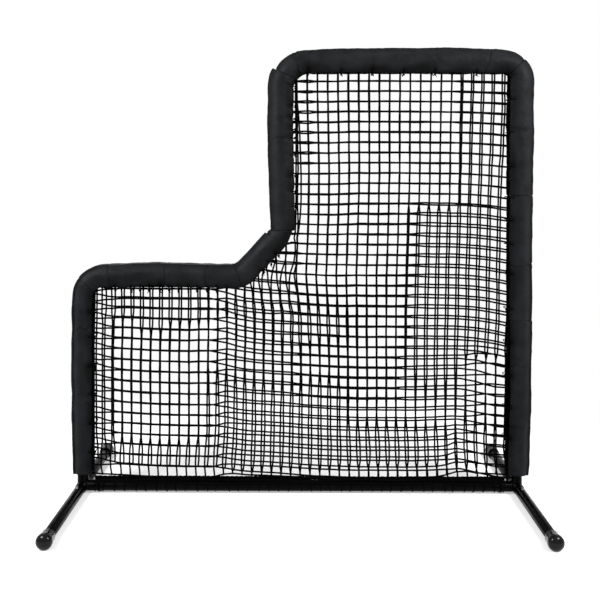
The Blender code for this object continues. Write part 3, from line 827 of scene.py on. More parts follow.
@dataclass
class FrameLine:
    """The centre line of the frame's tube in the screen's plane: straight runs joined by round bends."""

    top_rail_height: float = 2.005
    low_rail_height: float = 1.011
    inner_upright_x: float = -0.090
    brace_foot_x: float = -0.274
    brace_head_height: float = 1.216
    bends: tuple[float, ...] = (0.105, 0.100, 0.100, 0.120, 0.082)

    def __post_init__(self) -> None:
        """Lay the runs and the bends."""
        self.corners = [
            Vector((-HALF_SPACING, AXIS_HEIGHT)),
            Vector((-HALF_SPACING, self.low_rail_height)),
            Vector((self.brace_foot_x, self.low_rail_height)),
            Vector((self.inner_upright_x, self.brace_head_height)),
            Vector((self.inner_upright_x, self.top_rail_height)),
            Vector((HALF_SPACING, self.top_rail_height)),
            Vector((HALF_SPACING, AXIS_HEIGHT)),
        ]
        self.setback = [0.0]
        for before, corner, after, radius in zip(self.corners, self.corners[1:], self.corners[2:], self.bends):
            turn = (corner - before).angle(after - corner)
            self.setback.append(radius * math.tan(turn / 2))
        self.setback.append(0.0)
        self.runs: list[tuple[float, float, Vector, Vector, float]] = []
        self.run_start: list[float] = []
        station = 0.0
        for index in range(len(self.corners) - 1):
            first, last = self.corners[index], self.corners[index + 1]
            heading = (last - first).normalized()
            start = first + heading * self.setback[index]
            length = (last - first).length - self.setback[index] - self.setback[index + 1]
            self.run_start.append(station)
            self.runs.append((station, length, start, heading, 0.0))
            station += length
            if index < len(self.bends):
                onward = (self.corners[index + 2] - last).normalized()
                cross = heading.x * onward.y - heading.y * onward.x
                turn = math.copysign(heading.angle(onward), cross)
                bend_length = self.bends[index] * abs(turn)
                self.runs.append((station, bend_length, start + heading * length, heading, turn))
                station += bend_length
        self.length = station

    def place(self, station: float) -> tuple[Vector, Vector, float]:
        """Return the point, the heading and the curvature, above 0 where the line turns towards the net."""
        begin, length, start, heading, turn = [run for run in self.runs if run[0] <= station + 1e-9][-1]
        along = station - begin
        if turn == 0.0:
            return start + heading * along, heading, 0.0
        radius = length / abs(turn)
        normal = Vector((-heading.y, heading.x)) * math.copysign(1.0, turn)
        angle = along / radius
        point = start + heading * (radius * math.sin(angle)) + normal * (radius * (1 - math.cos(angle)))
        return point, heading * math.cos(angle) + normal * math.sin(angle), -math.copysign(1.0 / radius, turn)

    def on_run(self, corner: Corner, distance: float) -> float:
        """Return the station at a distance from a corner, along the run that leaves it."""
        return self.run_start[corner.value] + distance - self.setback[corner.value]

    def on_bend(self, corner: Corner, share: float) -> float:
        """Return the station at a share of the way round a corner's bend."""
        begin, length = self.runs[2 * corner.value - 1][:2]
        return begin + length * share

    def at_x(self, corner: Corner, x: float) -> float:
        """Return the station on a level run at a place along X."""
        return self.on_run(corner, abs(x - self.corners[corner.value].x))

    def at_z(self, corner: Corner, z: float) -> float:
        """Return the station on an upright run at a height."""
        return self.on_run(corner, abs(z - self.corners[corner.value].y))

    def outline(self, step: float = 0.01) -> np.ndarray:
        """Return the line as N rows of x, z."""
        count = int(self.length / step)
        return np.array([tuple(self.place(self.length * i / count)[0]) for i in range(count + 1)])

    def to_world(self, station: float, inward: float, y: float) -> Vector:
        """Return the world point at a station, moved towards the net and along Y from the screen's plane."""
        point, heading, _ = self.place(station)
        moved = point + Vector((heading.y, -heading.x)) * inward
        return Vector((moved.x, SCREEN_Y + y, moved.y))


LINE = FrameLine()


# Pads


@dataclass(frozen=True)
class Crease:
    """A fold line across a pad's cover."""

    station: float
    lean: float = 0.0  # how far the line runs on, from the lip to the pad's back
    depth: float = 1.6 * MM
    width: float = 5.0 * MM
    start: float = 40.0  # degrees round the section from the net side
    stop: float = 200.0


@dataclass
class PadCover:
    """One padded sleeve: a sewn nylon cover over a foam tube with a slit on the net side."""

    node: str
    start: float
    end: float
    shape: tuple[tuple[float, float, float], ...] = ((0.0, 0.0, 0.0), (1.0, 0.0, 0.0))
    creases: tuple[Crease, ...] = ()
    ties: tuple[float, ...] = ()
    seed: int = 1
    start_heading: Vector | None = None  # where a seam runs straight across, not square to the tube
    end_heading: Vector | None = None
    seam_reach: float = 0.075
    radius: float = 57.0 * MM
    lip_centre: tuple[float, float] = (49.5 * MM, 36.0 * MM)
    lip_radius: float = 5.4 * MM
    lip_swell: float = 9.4 * MM
    lip_spread: float = 17.0  # degrees
    painted_highlight_angle: float = 121.0  # degrees from the net side, the middle of the painted highlight band
    crown_spread: float = 17.0
    bore: float = 26.2 * MM
    wall_offset: float = 30.6 * MM
    ring_step: float = 7.0 * MM
    seam_gap: float = 0.6 * MM
    fill: float = 0.8

    LIP_POINTS: ClassVar[int] = 9
    SKIN_POINTS: ClassVar[int] = 44

    def half_section(self) -> tuple[np.ndarray, np.ndarray]:
        """Return the outer and the inner skin from the rear lip to the pad's back, as rows of (inward, y)."""
        around = np.radians(np.linspace(-90.0, 38.0, self.LIP_POINTS))
        lip = np.column_stack([self.lip_centre[0] + self.lip_radius * np.cos(around),
                               self.lip_centre[1] + self.lip_radius * np.sin(around)])
        first = math.degrees(math.atan2(lip[-1, 1], lip[-1, 0]))
        angles = np.linspace(first, 180.0, self.SKIN_POINTS)[1:]
        radii = self.radius + self.lip_swell * np.exp(-(((angles - first) / self.lip_spread) ** 2))
        skin = np.column_stack([radii * np.cos(np.radians(angles)), radii * np.sin(np.radians(angles))])
        outer = np.vstack([lip, skin])
        wall_count = 14
        wall = np.column_stack([np.linspace(self.lip_centre[0] - 1.0 * MM, 6.0 * MM, wall_count),
                                np.full(wall_count, self.wall_offset)])
        arc = np.radians(np.linspace(84.0, 180.0, len(outer) - wall_count))
        arc_radii = self.bore + (self.wall_offset - self.bore) * np.exp(-(((arc - arc[0]) / 0.25) ** 2))
        inner = np.vstack([wall, np.column_stack([arc_radii * np.cos(arc), arc_radii * np.sin(arc)])])
        return outer, inner

    def section(self) -> tuple[np.ndarray, np.ndarray]:
        """Return the whole outer and inner skins, from the front lip round the back to the rear lip."""
        whole = []
        for half in self.half_section():
            front = half * np.array([1.0, -1.0])
            whole.append(np.vstack([front, half[::-1][1:]]))
        return whole[0], whole[1]

    def stations(self) -> tuple[np.ndarray, np.ndarray]:
        """Return the rings' stations and their shares of the full radius, drawn in at the hems."""
        start, end = self.start + self.seam_gap / 2, self.end - self.seam_gap / 2
        hem = ((0.0, 0.955), (1.2 * MM, 0.972), (3.0 * MM, 0.985), (6.0 * MM, 0.995), (11.0 * MM, 1.0))
        middle = np.linspace(
            start + hem[-1][0], end - hem[-1][0], max(4, round((end - start) / self.ring_step)))[1:-1]
        rows = [(start + off, share) for off, share in hem]
        rows += [(station, 1.0) for station in middle]
        rows += [(end - off, share) for off, share in reversed(hem)]
        return np.array([row[0] for row in rows]), np.array([row[1] for row in rows])

    def relief(self, stations: np.ndarray, angles: np.ndarray) -> tuple[np.ndarray, np.ndarray, np.ndarray]:
        """Work out how far the cover stands out or in, and its tone, at each ring and each point round it.

        Args:
            stations: the rings' stations.
            angles: degrees round the section from the net side, below 0 on the front half.

        Returns:
            Three arrays with a row for each ring and a column for each point: how far it stands out, in metres,
            and from 0 to 1 how much painted shade darkens it and how much a painted highlight lightens it.
        """
        along, around = np.meshgrid(stations, np.radians(angles) * self.radius, indexing="ij")
        degrees = np.abs(np.broadcast_to(angles, along.shape))
        slack = 0.7 * MM * Ripples(self.seed, 0.21).at(along, around)
        slack += 0.45 * MM * Ripples(self.seed + 50, 0.075).at(along, around)
        slack += 0.22 * MM * Ripples(self.seed + 90, 0.030).at(along, around)
        bend = np.array([LINE.place(station)[2] for station in stations])
        softened = np.convolve(np.pad(bend, 6, mode="edge"), np.hanning(13) / np.hanning(13).sum(), mode="valid")
        toward_net = np.cos(np.radians(degrees))
        squeezed = np.clip(softened[:, None] * toward_net, 0.0, None) / 10.0
        wander = 0.010 * Ripples(self.seed + 7, 0.09).at(along, around)
        folds = np.sin(2 * math.pi * (along + wander) / (23.0 * MM))
        slack += 2.3 * MM * squeezed * (np.abs(folds) ** 0.7 * np.sign(folds) - 0.2)
        # painted shade: near black by the slit, and darker in the troughs of the folds where the frame bends
        fold = 0.78 * (1.0 - smooth_step(degrees + 9.0 * Ripples(self.seed + 21, 0.16).at(along, around), 28.0, 78.0))
        fold = fold + 0.5 * np.clip(squeezed, 0.0, 1.0) * np.clip(-folds, 0.0, 1.0)
        # painted highlight: a lighter band along the crown, stronger on the uprights
        crown = np.exp(-(((degrees - self.painted_highlight_angle) / self.crown_spread) ** 2))
        upright = np.array([abs(LINE.place(station)[1].y) for station in stations])
        crown = crown * (0.2 + 0.6 * upright[:, None] + 0.2 * Ripples(self.seed + 31, 0.12).at(along, around))
        for crease in self.creases:
            line = crease.station + crease.lean * degrees / 180.0 + 0.004 * Ripples(self.seed + 3, 0.06).at(
                around, along)
            away = (along - line) / crease.width
            reach = soft_window(degrees, crease.start, crease.stop, 25.0)
            front_share = np.where(angles < 0, 1.0, 0.6)
            slack += crease.depth * reach * front_share * (
                -np.exp(-(away ** 2)) + 0.45 * np.exp(-((np.abs(away) - 1.9) ** 2)))
            # painted shade along each crease
            fold = fold + 0.28 * crease.depth / MM * reach * front_share * np.exp(-((1.2 * away) ** 2))
        for tie in self.ties:
            near = np.exp(-(((along - tie) / (13.0 * MM)) ** 2))
            beside = np.exp(-(((np.abs(along - tie) - 30.0 * MM) / (16.0 * MM)) ** 2))
            lips = np.exp(-((degrees / 62.0) ** 2))
            slack += lips * (-3.4 * MM * near + 0.9 * MM * beside)
            pull = (along - tie) / ((6.0 + 0.25 * degrees) * MM)
            # painted shade where a tie pulls the cloth in
            fold = fold + 0.35 * np.exp(-((degrees / 95.0) ** 2)) * np.exp(-(pull ** 2))
        return slack, np.clip(fold, 0.0, 1.0), np.clip(crown, 0.0, 1.0)

    def ring_frame(self, station: float) -> tuple[Vector, np.ndarray]:
        """Return a ring's middle and its direction towards the net, turned with a slanted seam near it.

        Args:
            station: the ring's station.

        Returns:
            The ring's middle as (x, z) and the unit direction as an array.
        """
        point, heading, _ = LINE.place(station)
        for seam, wanted in ((self.start, self.start_heading), (self.end, self.end_heading)):
            if wanted is not None:
                share = 1.0 - float(smooth_step(abs(station - seam), 0.0, self.seam_reach))
                heading = (heading * (1.0 - share) + wanted * share).normalized()
        return point, np.array([heading.y, -heading.x])

    def build(self) -> bpy.types.Object:
        """Make the cover and hand it over as a padded piece.

        Returns:
            The cover.
        """
        outer, inner = self.section()
        stations, shares = self.stations()
        angles = np.degrees(np.arctan2(outer[:, 1], outer[:, 0]))
        relief, fold, crown = self.relief(stations, angles)
        along = (stations - self.start) / (self.end - self.start)
        keys = np.array(self.shape)
        shift = np.interp(along, keys[:, 0], keys[:, 1])
        swell = np.interp(along, keys[:, 0], keys[:, 2])
        lengths = np.linalg.norm(outer, axis=1, keepdims=True)
        outward = outer / lengths
        count = len(outer)
        rows = []
        for index, station in enumerate(stations):
            point, inward = self.ring_frame(float(station))
            pulled = outer + outward * (relief[index][:, None] + swell[index])
            pulled = pulled * shares[index]
            pulled[:, 0] += shift[index]
            wall_side = np.abs(outer[:, 1]) < self.wall_offset + 2.0 * MM
            held = np.where(wall_side, np.maximum(np.abs(pulled[:, 1]), self.wall_offset), np.abs(pulled[:, 1]))
            pulled[:, 1] = np.sign(outer[:, 1] + 1e-12) * held
            ring = np.vstack([pulled, inner[::-1]])
            flat = np.array([point.x, point.y]) + ring[:, :1] * inward
            rows.append(np.column_stack([flat[:, 0], SCREEN_Y + ring[:, 1], flat[:, 1]]))
        points = np.vstack(rows)
        size = 2 * count
        hidden_v = -0.05  # off the cloth's pattern, for the inner skin and the ends
        skin_v = np.concatenate([[0.0], np.cumsum(np.linalg.norm(np.diff(outer, axis=0), axis=1))])
        ring_v = np.concatenate([skin_v, np.full(count, hidden_v)])
        faces: list[tuple[int, ...]] = []
        uvs: list[tuple[float, float]] = []
        for i in range(len(stations) - 1):
            here, there = i * size, (i + 1) * size
            for j in range(size):
                k = (j + 1) % size
                faces.append((here + j, there + j, there + k, here + k))
                uvs += [(stations[i], ring_v[j]), (stations[i + 1], ring_v[j]),
                        (stations[i + 1], ring_v[k]), (stations[i], ring_v[k])]
        for base, flip in ((0, False), ((len(stations) - 1) * size, True)):
            for j in range(count - 1):
                quad = (base + j, base + j + 1, base + size - 2 - j, base + size - 1 - j)
                faces.append(tuple(reversed(quad)) if flip else quad)
                uvs += [(0.0, hidden_v)] * 4
        obj = mesh_object(self.node + "_cover", points, faces, COVER, np.array(uvs), "cloth")
        # the fold attribute holds painted shade and the crown attribute a painted highlight; the inner skin gets full
        # painted shade
        for label, shade, within in (("fold", fold, 1.0), ("crown", crown, 0.0)):
            both = np.hstack([shade, np.full_like(shade, within)])
            obj.data.attributes.new(label, "FLOAT", "POINT").data.foreach_set("value", both.ravel())
        tidy_normals(obj, 60.0)
        hand_over(obj, stands_for=[self.node])
        return obj


@dataclass
class PadSet:
    """The nine pads round the frame, and the cord ties that close their slits."""

    foot_height: float = 93.0 * MM
    tie_radius: float = 1.9 * MM

    def seams(self) -> list[float]:
        """Return the stations at which the pads start and end."""
        rise = self.foot_height - AXIS_HEIGHT
        return [
            LINE.on_run(Corner.LEFT_FOOT, rise),
            LINE.on_bend(Corner.LOW, 0.45),
            LINE.at_x(Corner.LOW, -0.622),
            LINE.on_bend(Corner.BRACE_FOOT, 0.40),
            LINE.on_bend(Corner.BRACE_HEAD, 0.60),
            LINE.on_bend(Corner.TOP_LEFT, 0.30),
            LINE.on_bend(Corner.TOP_RIGHT, 0.50),
            LINE.at_z(Corner.TOP_RIGHT, 1.390),
            LINE.at_z(Corner.TOP_RIGHT, 0.815),
            LINE.length - rise,
        ]

    def tie_stations(self) -> list[float]:
        """Return the stations of the ties, those of the photograph first."""
        level = [(Corner.TOP_LEFT, x) for x in (0.030, 0.1815, 0.324, 0.466, 0.608, 0.797)]
        level += [(Corner.LOW, x) for x in (-0.850, -0.775, -0.737, -0.695, -0.645, -0.603, -0.560, -0.515, -0.475,
                                            -0.430, -0.385, -0.340)]
        upright = [(Corner.TOP_RIGHT, z) for z in (1.830, 1.680, 1.523, 1.383, 1.279, 1.167, 1.031, 0.868, 0.714,
                                                   0.560, 0.410, 0.270)]
        upright += [(Corner.BRACE_HEAD, z) for z in (1.338, 1.405, 1.476, 1.572, 1.650, 1.689, 1.736, 1.793, 1.880)]
        upright += [(Corner.BRACE_FOOT, z) for z in (1.097, 1.148, 1.199)]
        upright += [(Corner.LEFT_FOOT, z) for z in (0.200, 0.335, 0.470, 0.600, 0.735, 0.850)]
        found = [LINE.at_x(corner, x) for corner, x in level]
        found += [LINE.at_z(corner, z) for corner, z in upright]
        return sorted(found)

    def build(self) -> None:
        """Make the covers and the ties."""
        seams = self.seams()
        ties = self.tie_stations()
        shapes = {
            "left_upright_pad": ((0.0, 3.0, -14.0), (0.08, 3.5, -12.0), (0.3, 3.2, -10.2), (0.55, 2.5, -9.0),
                                 (0.85, 4.8, -10.2), (0.93, 6.5, -11.5), (1.0, 3.0, -7.5)),
            "low_rail_outer_pad": ((0.0, 2.0, -7.0), (0.15, -1.0, -6.0), (0.4, -2.0, -3.5), (0.8, -10.0, -5.5),
                                   (1.0, -10.0, -5.5)),
            "low_rail_inner_pad": ((0.0, -8.0, -4.5), (0.5, -2.5, -3.5), (1.0, 0.0, -1.0)),
            "notch_brace_pad": ((0.0, 0.0, 0.0), (0.5, 1.5, -1.0), (1.0, 2.5, 0.5)),
            "inner_upright_pad": ((0.0, 9.5, 0.5), (0.12, 5.5, 1.5), (0.25, 2.0, 2.5), (0.7, -5.0, 4.0),
                                  (0.9, -4.0, 4.0), (1.0, -1.5, 2.5)),
            "top_rail_pad": ((0.0, 8.0, -2.0), (0.12, 8.0, -4.0), (0.35, 2.7, -1.2), (0.7, 0.0, 1.0), (0.9, 2.0, -1.5),
                             (1.0, 6.2, -7.8)),
            "right_upper_pad": ((0.0, 6.2, -7.8), (0.12, 4.5, -1.5), (0.5, 4.2, 0.2), (1.0, 2.0, -2.0)),
            "right_middle_pad": ((0.0, 2.0, -3.0), (0.4, 1.0, -3.5), (1.0, -3.0, -4.5)),
            "right_lower_pad": ((0.0, -4.0, -4.0), (0.5, -7.2, -6.8), (0.9, -3.0, -6.0), (1.0, -0.8, -8.2)),
        }
        creases = self.creases()
        upward = Vector((0.0, 1.0))
        for index, (node, rows) in enumerate(shapes.items()):
            start, end = seams[index], seams[index + 1]
            PadCover(
                node, start, end,
                shape=tuple((share, shift * MM, swell * MM) for share, shift, swell in rows),
                creases=tuple(crease for crease in creases if start < crease.station < end),
                ties=tuple(tie for tie in ties if start < tie < end),
                seed=11 + index,
                start_heading=upward if node == "inner_upright_pad" else None,
                end_heading=upward if node == "notch_brace_pad" else None,
            ).build()
        self.build_ties(ties)

    def creases(self) -> list[Crease]:
        """Return the fold lines that the photograph shows, and a few like them where it shows none."""
        top, low, right, left = Corner.TOP_LEFT, Corner.LOW, Corner.TOP_RIGHT, Corner.LEFT_FOOT
        return [
            Crease(LINE.at_x(top, -0.045), 0.030, 2.2 * MM, 4.0 * MM),
            Crease(LINE.at_x(top, 0.032), 0.006, 1.6 * MM, 3.5 * MM),
            Crease(LINE.at_x(top, 0.320), 0.000, 1.2 * MM, 3.0 * MM, 60.0),
            Crease(LINE.at_x(top, 0.610), 0.004, 1.2 * MM, 3.0 * MM, 60.0),
            Crease(LINE.at_x(top, 0.840), 0.020, 1.8 * MM, 5.0 * MM),
            Crease(LINE.at_x(low, -0.865), -0.024, 2.2 * MM, 4.5 * MM),
            Crease(LINE.at_x(low, -0.800), 0.010, 1.0 * MM, 4.0 * MM, 40.0, 120.0),
            Crease(LINE.at_x(low, -0.440), 0.008, 1.2 * MM, 4.0 * MM, 60.0),
            Crease(LINE.at_z(right, 1.073), 0.004, 2.0 * MM, 4.0 * MM),
            Crease(LINE.at_z(right, 1.700), 0.014, 1.2 * MM, 6.0 * MM, 30.0, 120.0),
            Crease(LINE.at_z(right, 0.600), -0.016, 1.2 * MM, 6.0 * MM, 30.0, 110.0),
            Crease(LINE.at_z(right, 0.330), 0.018, 1.6 * MM, 7.0 * MM, 30.0, 110.0),
            Crease(LINE.at_z(left, 0.780), -0.020, 1.6 * MM, 7.0 * MM, 30.0, 120.0),
            Crease(LINE.at_z(left, 0.420), 0.012, 1.0 * MM, 6.0 * MM, 30.0, 110.0),
            Crease(LINE.at_z(Corner.BRACE_HEAD, 1.640), 0.012, 1.2 * MM, 5.0 * MM, 30.0, 120.0),
        ]

    def build_ties(self, stations: Sequence[float]) -> None:
        """Make the cord loops that close the pads' slits, each with its knot in front.

        Args:
            stations: where the ties go.
        """
        draw = np.random.RandomState(5)
        batch = TubeBatch(sides=8)
        knot = knot_template(4.8 * MM, 2.6 * MM, 22, 7)
        half = [(64.0, 6.0), (65.0, 20.0), (63.0, 31.0), (57.0, 40.0), (50.0, 45.5), (42.0, 47.0), (36.0, 40.0)]
        for station in stations:
            loop = [(n * MM, -y * MM) for n, y in reversed(half)]
            loop += [(n * MM, y * MM) for n, y in half]
            wobble = draw.uniform(-1.5, 1.5, len(loop)) * MM
            path = [LINE.to_world(station + slip, n, y) for (n, y), slip in zip(loop, wobble)]
            batch.add_path(rounded(np.array(path), 4, closed=True), self.tie_radius, closed=True)
            front = LINE.to_world(station, 63.5 * MM, -34.0 * MM)
            spin = Matrix.Rotation(draw.uniform(0, math.pi), 3, "Z")
            spin = spin @ Matrix.Rotation(draw.uniform(-0.6, 0.6), 3, "X")
            batch.add_copies(knot, np.array([front]), np.array([np.array(spin)]))
            for _ in range(2):
                tail = [Vector(front)]
                step = Vector((draw.uniform(-0.5, 0.5), draw.uniform(-0.35, 0.1), -1.0)).normalized() * 3.0 * MM
                for _ in range(int(draw.randint(3, 6))):
                    step = (step + Vector(draw.uniform(-0.8, 0.8, 3)) * MM).normalized() * 3.0 * MM
                    tail.append(tail[-1] + step)
                batch.add_path(rounded(np.array(tail), 2), self.tie_radius * 0.8)
        hand_over(batch.make("pad_ties", TWINE))


def rounded(path: np.ndarray, parts: int, closed: bool = False) -> np.ndarray:
    """Pass a smooth curve through the points of a path.

    Args:
        path: N rows of x, y, z.
        parts: how many steps go between two points.
        closed: whether the last point joins the first.

    Returns:
        The curve's points.
    """
    total = len(path)
    if closed:
        before, after = np.roll(path, 1, axis=0), np.roll(path, -1, axis=0)
        beyond = np.roll(path, -2, axis=0)
        here = path
    else:
        padded = np.vstack([2 * path[0] - path[1], path, 2 * path[-1] - path[-2]])
        before, here, after, beyond = padded[:-3], padded[1:-2], padded[2:-1], padded[3:]
    result = []
    for index in range(total if closed else total - 1):
        a, b, c, d = before[index], here[index], after[index], beyond[index]
        for step in range(parts):
            t = step / parts
            result.append(0.5 * (2 * b + (c - a) * t + (2 * a - 5 * b + 4 * c - d) * t ** 2
                                 + (3 * b - a - 3 * c + d) * t ** 3))
    if not closed:
        result.append(path[-1])
    return np.array(result)


def knot_template(size: float, cord_radius: float, steps: int, sides: int) -> TubeBatch:
    """Make a knot as the closed three-lobed path that a pulled overhand knot takes.

    Args:
        size: how far the cord's middle lies from the knot's middle.
        cord_radius: the cord's radius.
        steps: points along the cord.
        sides: points round the cord.

    Returns:
        A batch that holds the knot at the origin, flat in the XZ plane.
    """
    batch = TubeBatch(sides=sides)
    t = 2 * math.pi * np.arange(steps) / steps
    scale = size / 3.0
    path = np.column_stack([
        scale * (np.sin(t) + 2 * np.sin(2 * t)),
        -1.25 * scale * np.sin(3 * t),
        scale * (np.cos(t) - 2 * np.cos(2 * t)),
    ])
    batch.add_path(path, cord_radius, closed=True)
    return batch


# Net


@dataclass(frozen=True)
class Hang:
    """How the net's columns hang at one height: where one of them is, and how wide the meshes are."""

    height: float
    middle: float  # place of column 0 along X
    near: float  # mesh width of the first five columns to the right
    far: float  # mesh width beyond these
    left: float  # mesh width of the first six columns to the left


@dataclass(frozen=True)
class Tug:
    """A patch where the rows of one or both layers hang higher or lower than they would on their own."""

    places: tuple[float, float, float]  # from, to and fade along X
    levels: tuple[float, float, float]  # from, to and fade in height
    front: float  # how far the front layer rises, in millimetres
    rear: float

    def lift(self, end: End, level: float, x: np.ndarray) -> np.ndarray:
        """Return how far the layer rises at one height, at the given places along X."""
        amount = self.front if end is End.FRONT else self.rear
        return amount * MM * soft_window(x, *self.places) * float(soft_window(level, *self.levels))


TUGS = (
    Tug((-0.01, 0.20, 0.06), (1.24, 1.46, 0.06), -3.5, -3.5),
    Tug((-0.01, 0.20, 0.06), (0.82, 1.00, 0.06), -3.5, -3.5),
    Tug((-0.46, -0.38, 0.04), (0.48, 0.78, 0.05), 3.0, 3.0),
    Tug((-0.36, -0.26, 0.04), (0.82, 0.90, 0.04), -7.5, -7.5),
    Tug((-0.22, -0.13, 0.04), (0.82, 0.90, 0.04), -4.5, -4.5),
    Tug((-0.13, -0.01, 0.03), (1.04, 1.13, 0.03), -5.0, 5.0),
    Tug((-0.97, -0.86, 0.05), (0.70, 0.95, 0.05), -4.5, -4.5),
    Tug((-0.97, -0.86, 0.05), (0.36, 0.48, 0.05), 4.0, 4.0),
    Tug((0.80, 0.92, 0.03), (0.58, 0.66, 0.04), 5.0, 5.0),
    Tug((0.86, 1.05, 0.06), (-0.10, 0.46, 0.08), 6.5, 6.5),
    Tug((0.71, 0.80, 0.04), (-0.10, 0.22, 0.13), 3.0, 19.0),
)

HANGS = (
    Hang(0.100, 0.276, 0.0451, 0.0463, 0.0457),
    Hang(0.210, 0.272, 0.0452, 0.0456, 0.0449),
    Hang(0.310, 0.267, 0.0448, 0.0464, 0.0441),
    Hang(0.620, 0.265, 0.0447, 0.0465, 0.0437),
    Hang(0.820, 0.261, 0.0453, 0.0475, 0.0440),
    Hang(0.920, 0.2595, 0.0459, 0.0473, 0.0452),
    Hang(1.010, 0.257, 0.0468, 0.0468, 0.0465),
    Hang(1.310, 0.266, 0.0464, 0.0464, 0.0460),
    Hang(1.500, 0.268, 0.0465, 0.0465, 0.0463),
    Hang(1.900, 0.263, 0.0474, 0.0476, 0.0474),
)


@dataclass
class NetLayer:
    """One layer of the pillowcase net: knotted square mesh that hangs slack inside the frame."""

    end: End
    seed: int
    cord_radius: float = 4.1 * MM  # real twine is 3 to 4 mm thick, too fine to show black, so drawn thicker
    knot_size: float = 3.9 * MM
    foot_height: float = 62.0 * MM
    foot_reach: float = 15.0 * MM  # from the screen's plane to the hem rope
    panel_start: float = 4.0 * MM  # place of column -6 under the low rail
    panel_pitch: float = 43.75 * MM  # mesh width under the low rail
    pad_edge: float = -0.905  # where the left pad starts to gather the columns
    pad_gather: float = 0.88
    first_row: float = 1.960
    row_pitch: float = 46.65 * MM
    pitch_growth: float = 0.0192 * MM  # the net's own weight opens the meshes further down
    rows: int = 41
    columns: tuple[int, int] = (-31, 17)
    parts: int = 4
    touch_gap: float = 4.3 * MM  # from the screen's plane to a cord's middle where the layers lie together
    beside: float = 1.3 * MM  # the layers' cords lie side by side where they touch
    drift: float = 0.5 * MM
    ripple: float = 0.3 * MM
    anchors: tuple[tuple[float, float], ...] = ((-0.162, 1.051), (-0.115, 1.102), (-0.068, 1.154), (-0.038, 1.189))
    anchor_reach: float = 17.0 * MM  # how far an anchor on the notch brace gathers the meshes
    top_right_pull: float = 3.5 * MM
    pair_x: float = -0.008  # the column next to the inner upright, where the layers' cords part
    pair_width: float = 0.018
    pair_shift: float = 3.0 * MM

    def __post_init__(self) -> None:
        """Draw the random fields."""
        self.side = self.end.value
        self.slack_x = Ripples(self.seed, 0.34)
        self.slack_z = Ripples(self.seed + 1, 0.30)
        self.slack_y = Ripples(self.seed + 2, 0.42)
        self.fine_x = Ripples(self.seed + 3, 0.11)
        self.fine_z = Ripples(self.seed + 4, 0.10)
        self.outline = LINE.outline()
        self.hangs = np.array([(hang.height, hang.middle, hang.near, hang.far, hang.left) for hang in HANGS]).T

    def column_x(self, column: int, z: np.ndarray) -> np.ndarray:
        """Return where a column hangs along X, at the given heights."""
        heights, middle, near, far, left = self.hangs
        x = np.interp(z, heights, middle) + np.interp(z, heights, near) * min(max(column, 0), 5)
        x = x + np.interp(z, heights, far) * max(column - 5, 0)
        x = x + np.interp(z, heights, left) * max(min(column, 0), -6)
        if column < -6:
            x = self.panel_start + self.panel_pitch * (column + 6) + self.panel_lean(column, z)
        x = x + self.brace_lean(column, z)
        x = x + self.top_right_pull * smooth_step(x, 0.84, 0.90) * soft_window(z, 1.58, 1.80, 0.06)
        by_pad = np.exp(-(((x - self.pair_x) / self.pair_width) ** 2))
        x = x + self.pair_shift * by_pad * soft_window(z, 1.27, 1.75, 0.05)
        return np.where(x < self.pad_edge, self.pad_edge + self.pad_gather * (x - self.pad_edge), x)

    def panel_lean(self, column: int, z: np.ndarray) -> np.ndarray:
        """Return how far a column of the low panel leans along X, at the given heights."""
        middle = 6.0 * MM * math.exp(-(((column + 16.5) / 3.0) ** 2))
        foot = -11.0 * MM * math.exp(-(((column + 15.0) / 7.0) ** 2)) * (1.0 - smooth_step(z, 0.08, 0.33))
        rail = 6.0 * MM * float(smooth_step(-column, 16.0, 20.0)) * smooth_step(z, 0.60, 0.92)
        reach = float(np.interp(column, (-16, -12, -11, -10, -9, -8, -7), (0.0, 3.0, 6.0, 10.0, 10.5, 12.0, 14.0)))
        brace = -reach * MM * smooth_step(z, 0.83, 0.91)
        bulge = 3.0 * MM * math.exp(-(((column + 13.0) / 3.0) ** 2)) * smooth_step(z, 0.60, 0.75)
        return middle + foot + rail + brace + bulge

    def brace_lean(self, column: int, z: np.ndarray) -> np.ndarray:
        """Return how far the columns by the notch brace lean: the rear ones swing over to the next anchor."""
        if not -11 <= column <= -6:
            return np.zeros_like(z)
        if self.end is End.FRONT:
            if column == -6:
                return -9.0 * MM * soft_window(z, 0.99, 1.04, 0.03)
            return -15.5 * MM * smooth_step(z, 0.915, 1.01)
        reach = float(np.interp(column, (-11, -10, -9, -8, -7, -6), (8.0, 16.0, 24.0, 28.0, 27.0, 0.0)))
        return reach * MM * np.interp(z, (1.005, 1.03, 1.078, 1.124), (0.0, 0.25, 0.8, 1.0))

    def row_z(self, row: int, x: np.ndarray) -> np.ndarray:
        """Return how high a row lies, at the given places along X."""
        level = self.first_row - self.row_pitch * row - self.pitch_growth * row ** 2 + 1.3 * MM * max(row - 34, 0)
        level -= 4.5 * MM * (1.0 - float(smooth_step(level, 0.10, 1.70)))
        slack = 3.5 * MM * soft_window(x, -0.05, 0.13, 0.10) * float(smooth_step(level, 0.85, 1.0))
        lift = sum(tug.lift(self.end, level, x) for tug in TUGS)
        return level + self.left_rise(level, x) + self.middle_rise(level, x) - self.right_dip(level, x) - slack + lift

    def middle_rise(self, level: float, x: np.ndarray) -> np.ndarray:
        """Return how far the lower rows rise left of the middle, where the two layers part."""
        places = (-0.442, -0.364, -0.327, -0.280, -0.225, -0.160, -0.072, 0.020, 0.113, 0.205)
        if self.end is End.FRONT:
            rises = (0.0, 5.5, 10.0, 15.5, 15.5, 14.5, 12.5, 7.5, 2.3, 0.0)
        else:
            rises = (0.0, -8.0, -6.0, -3.5, 0.0, 2.8, 2.5, 0.0, 0.0, 0.0)
        return np.interp(x, places, rises) * MM * (1.0 - float(smooth_step(level, 0.50, 0.68)))

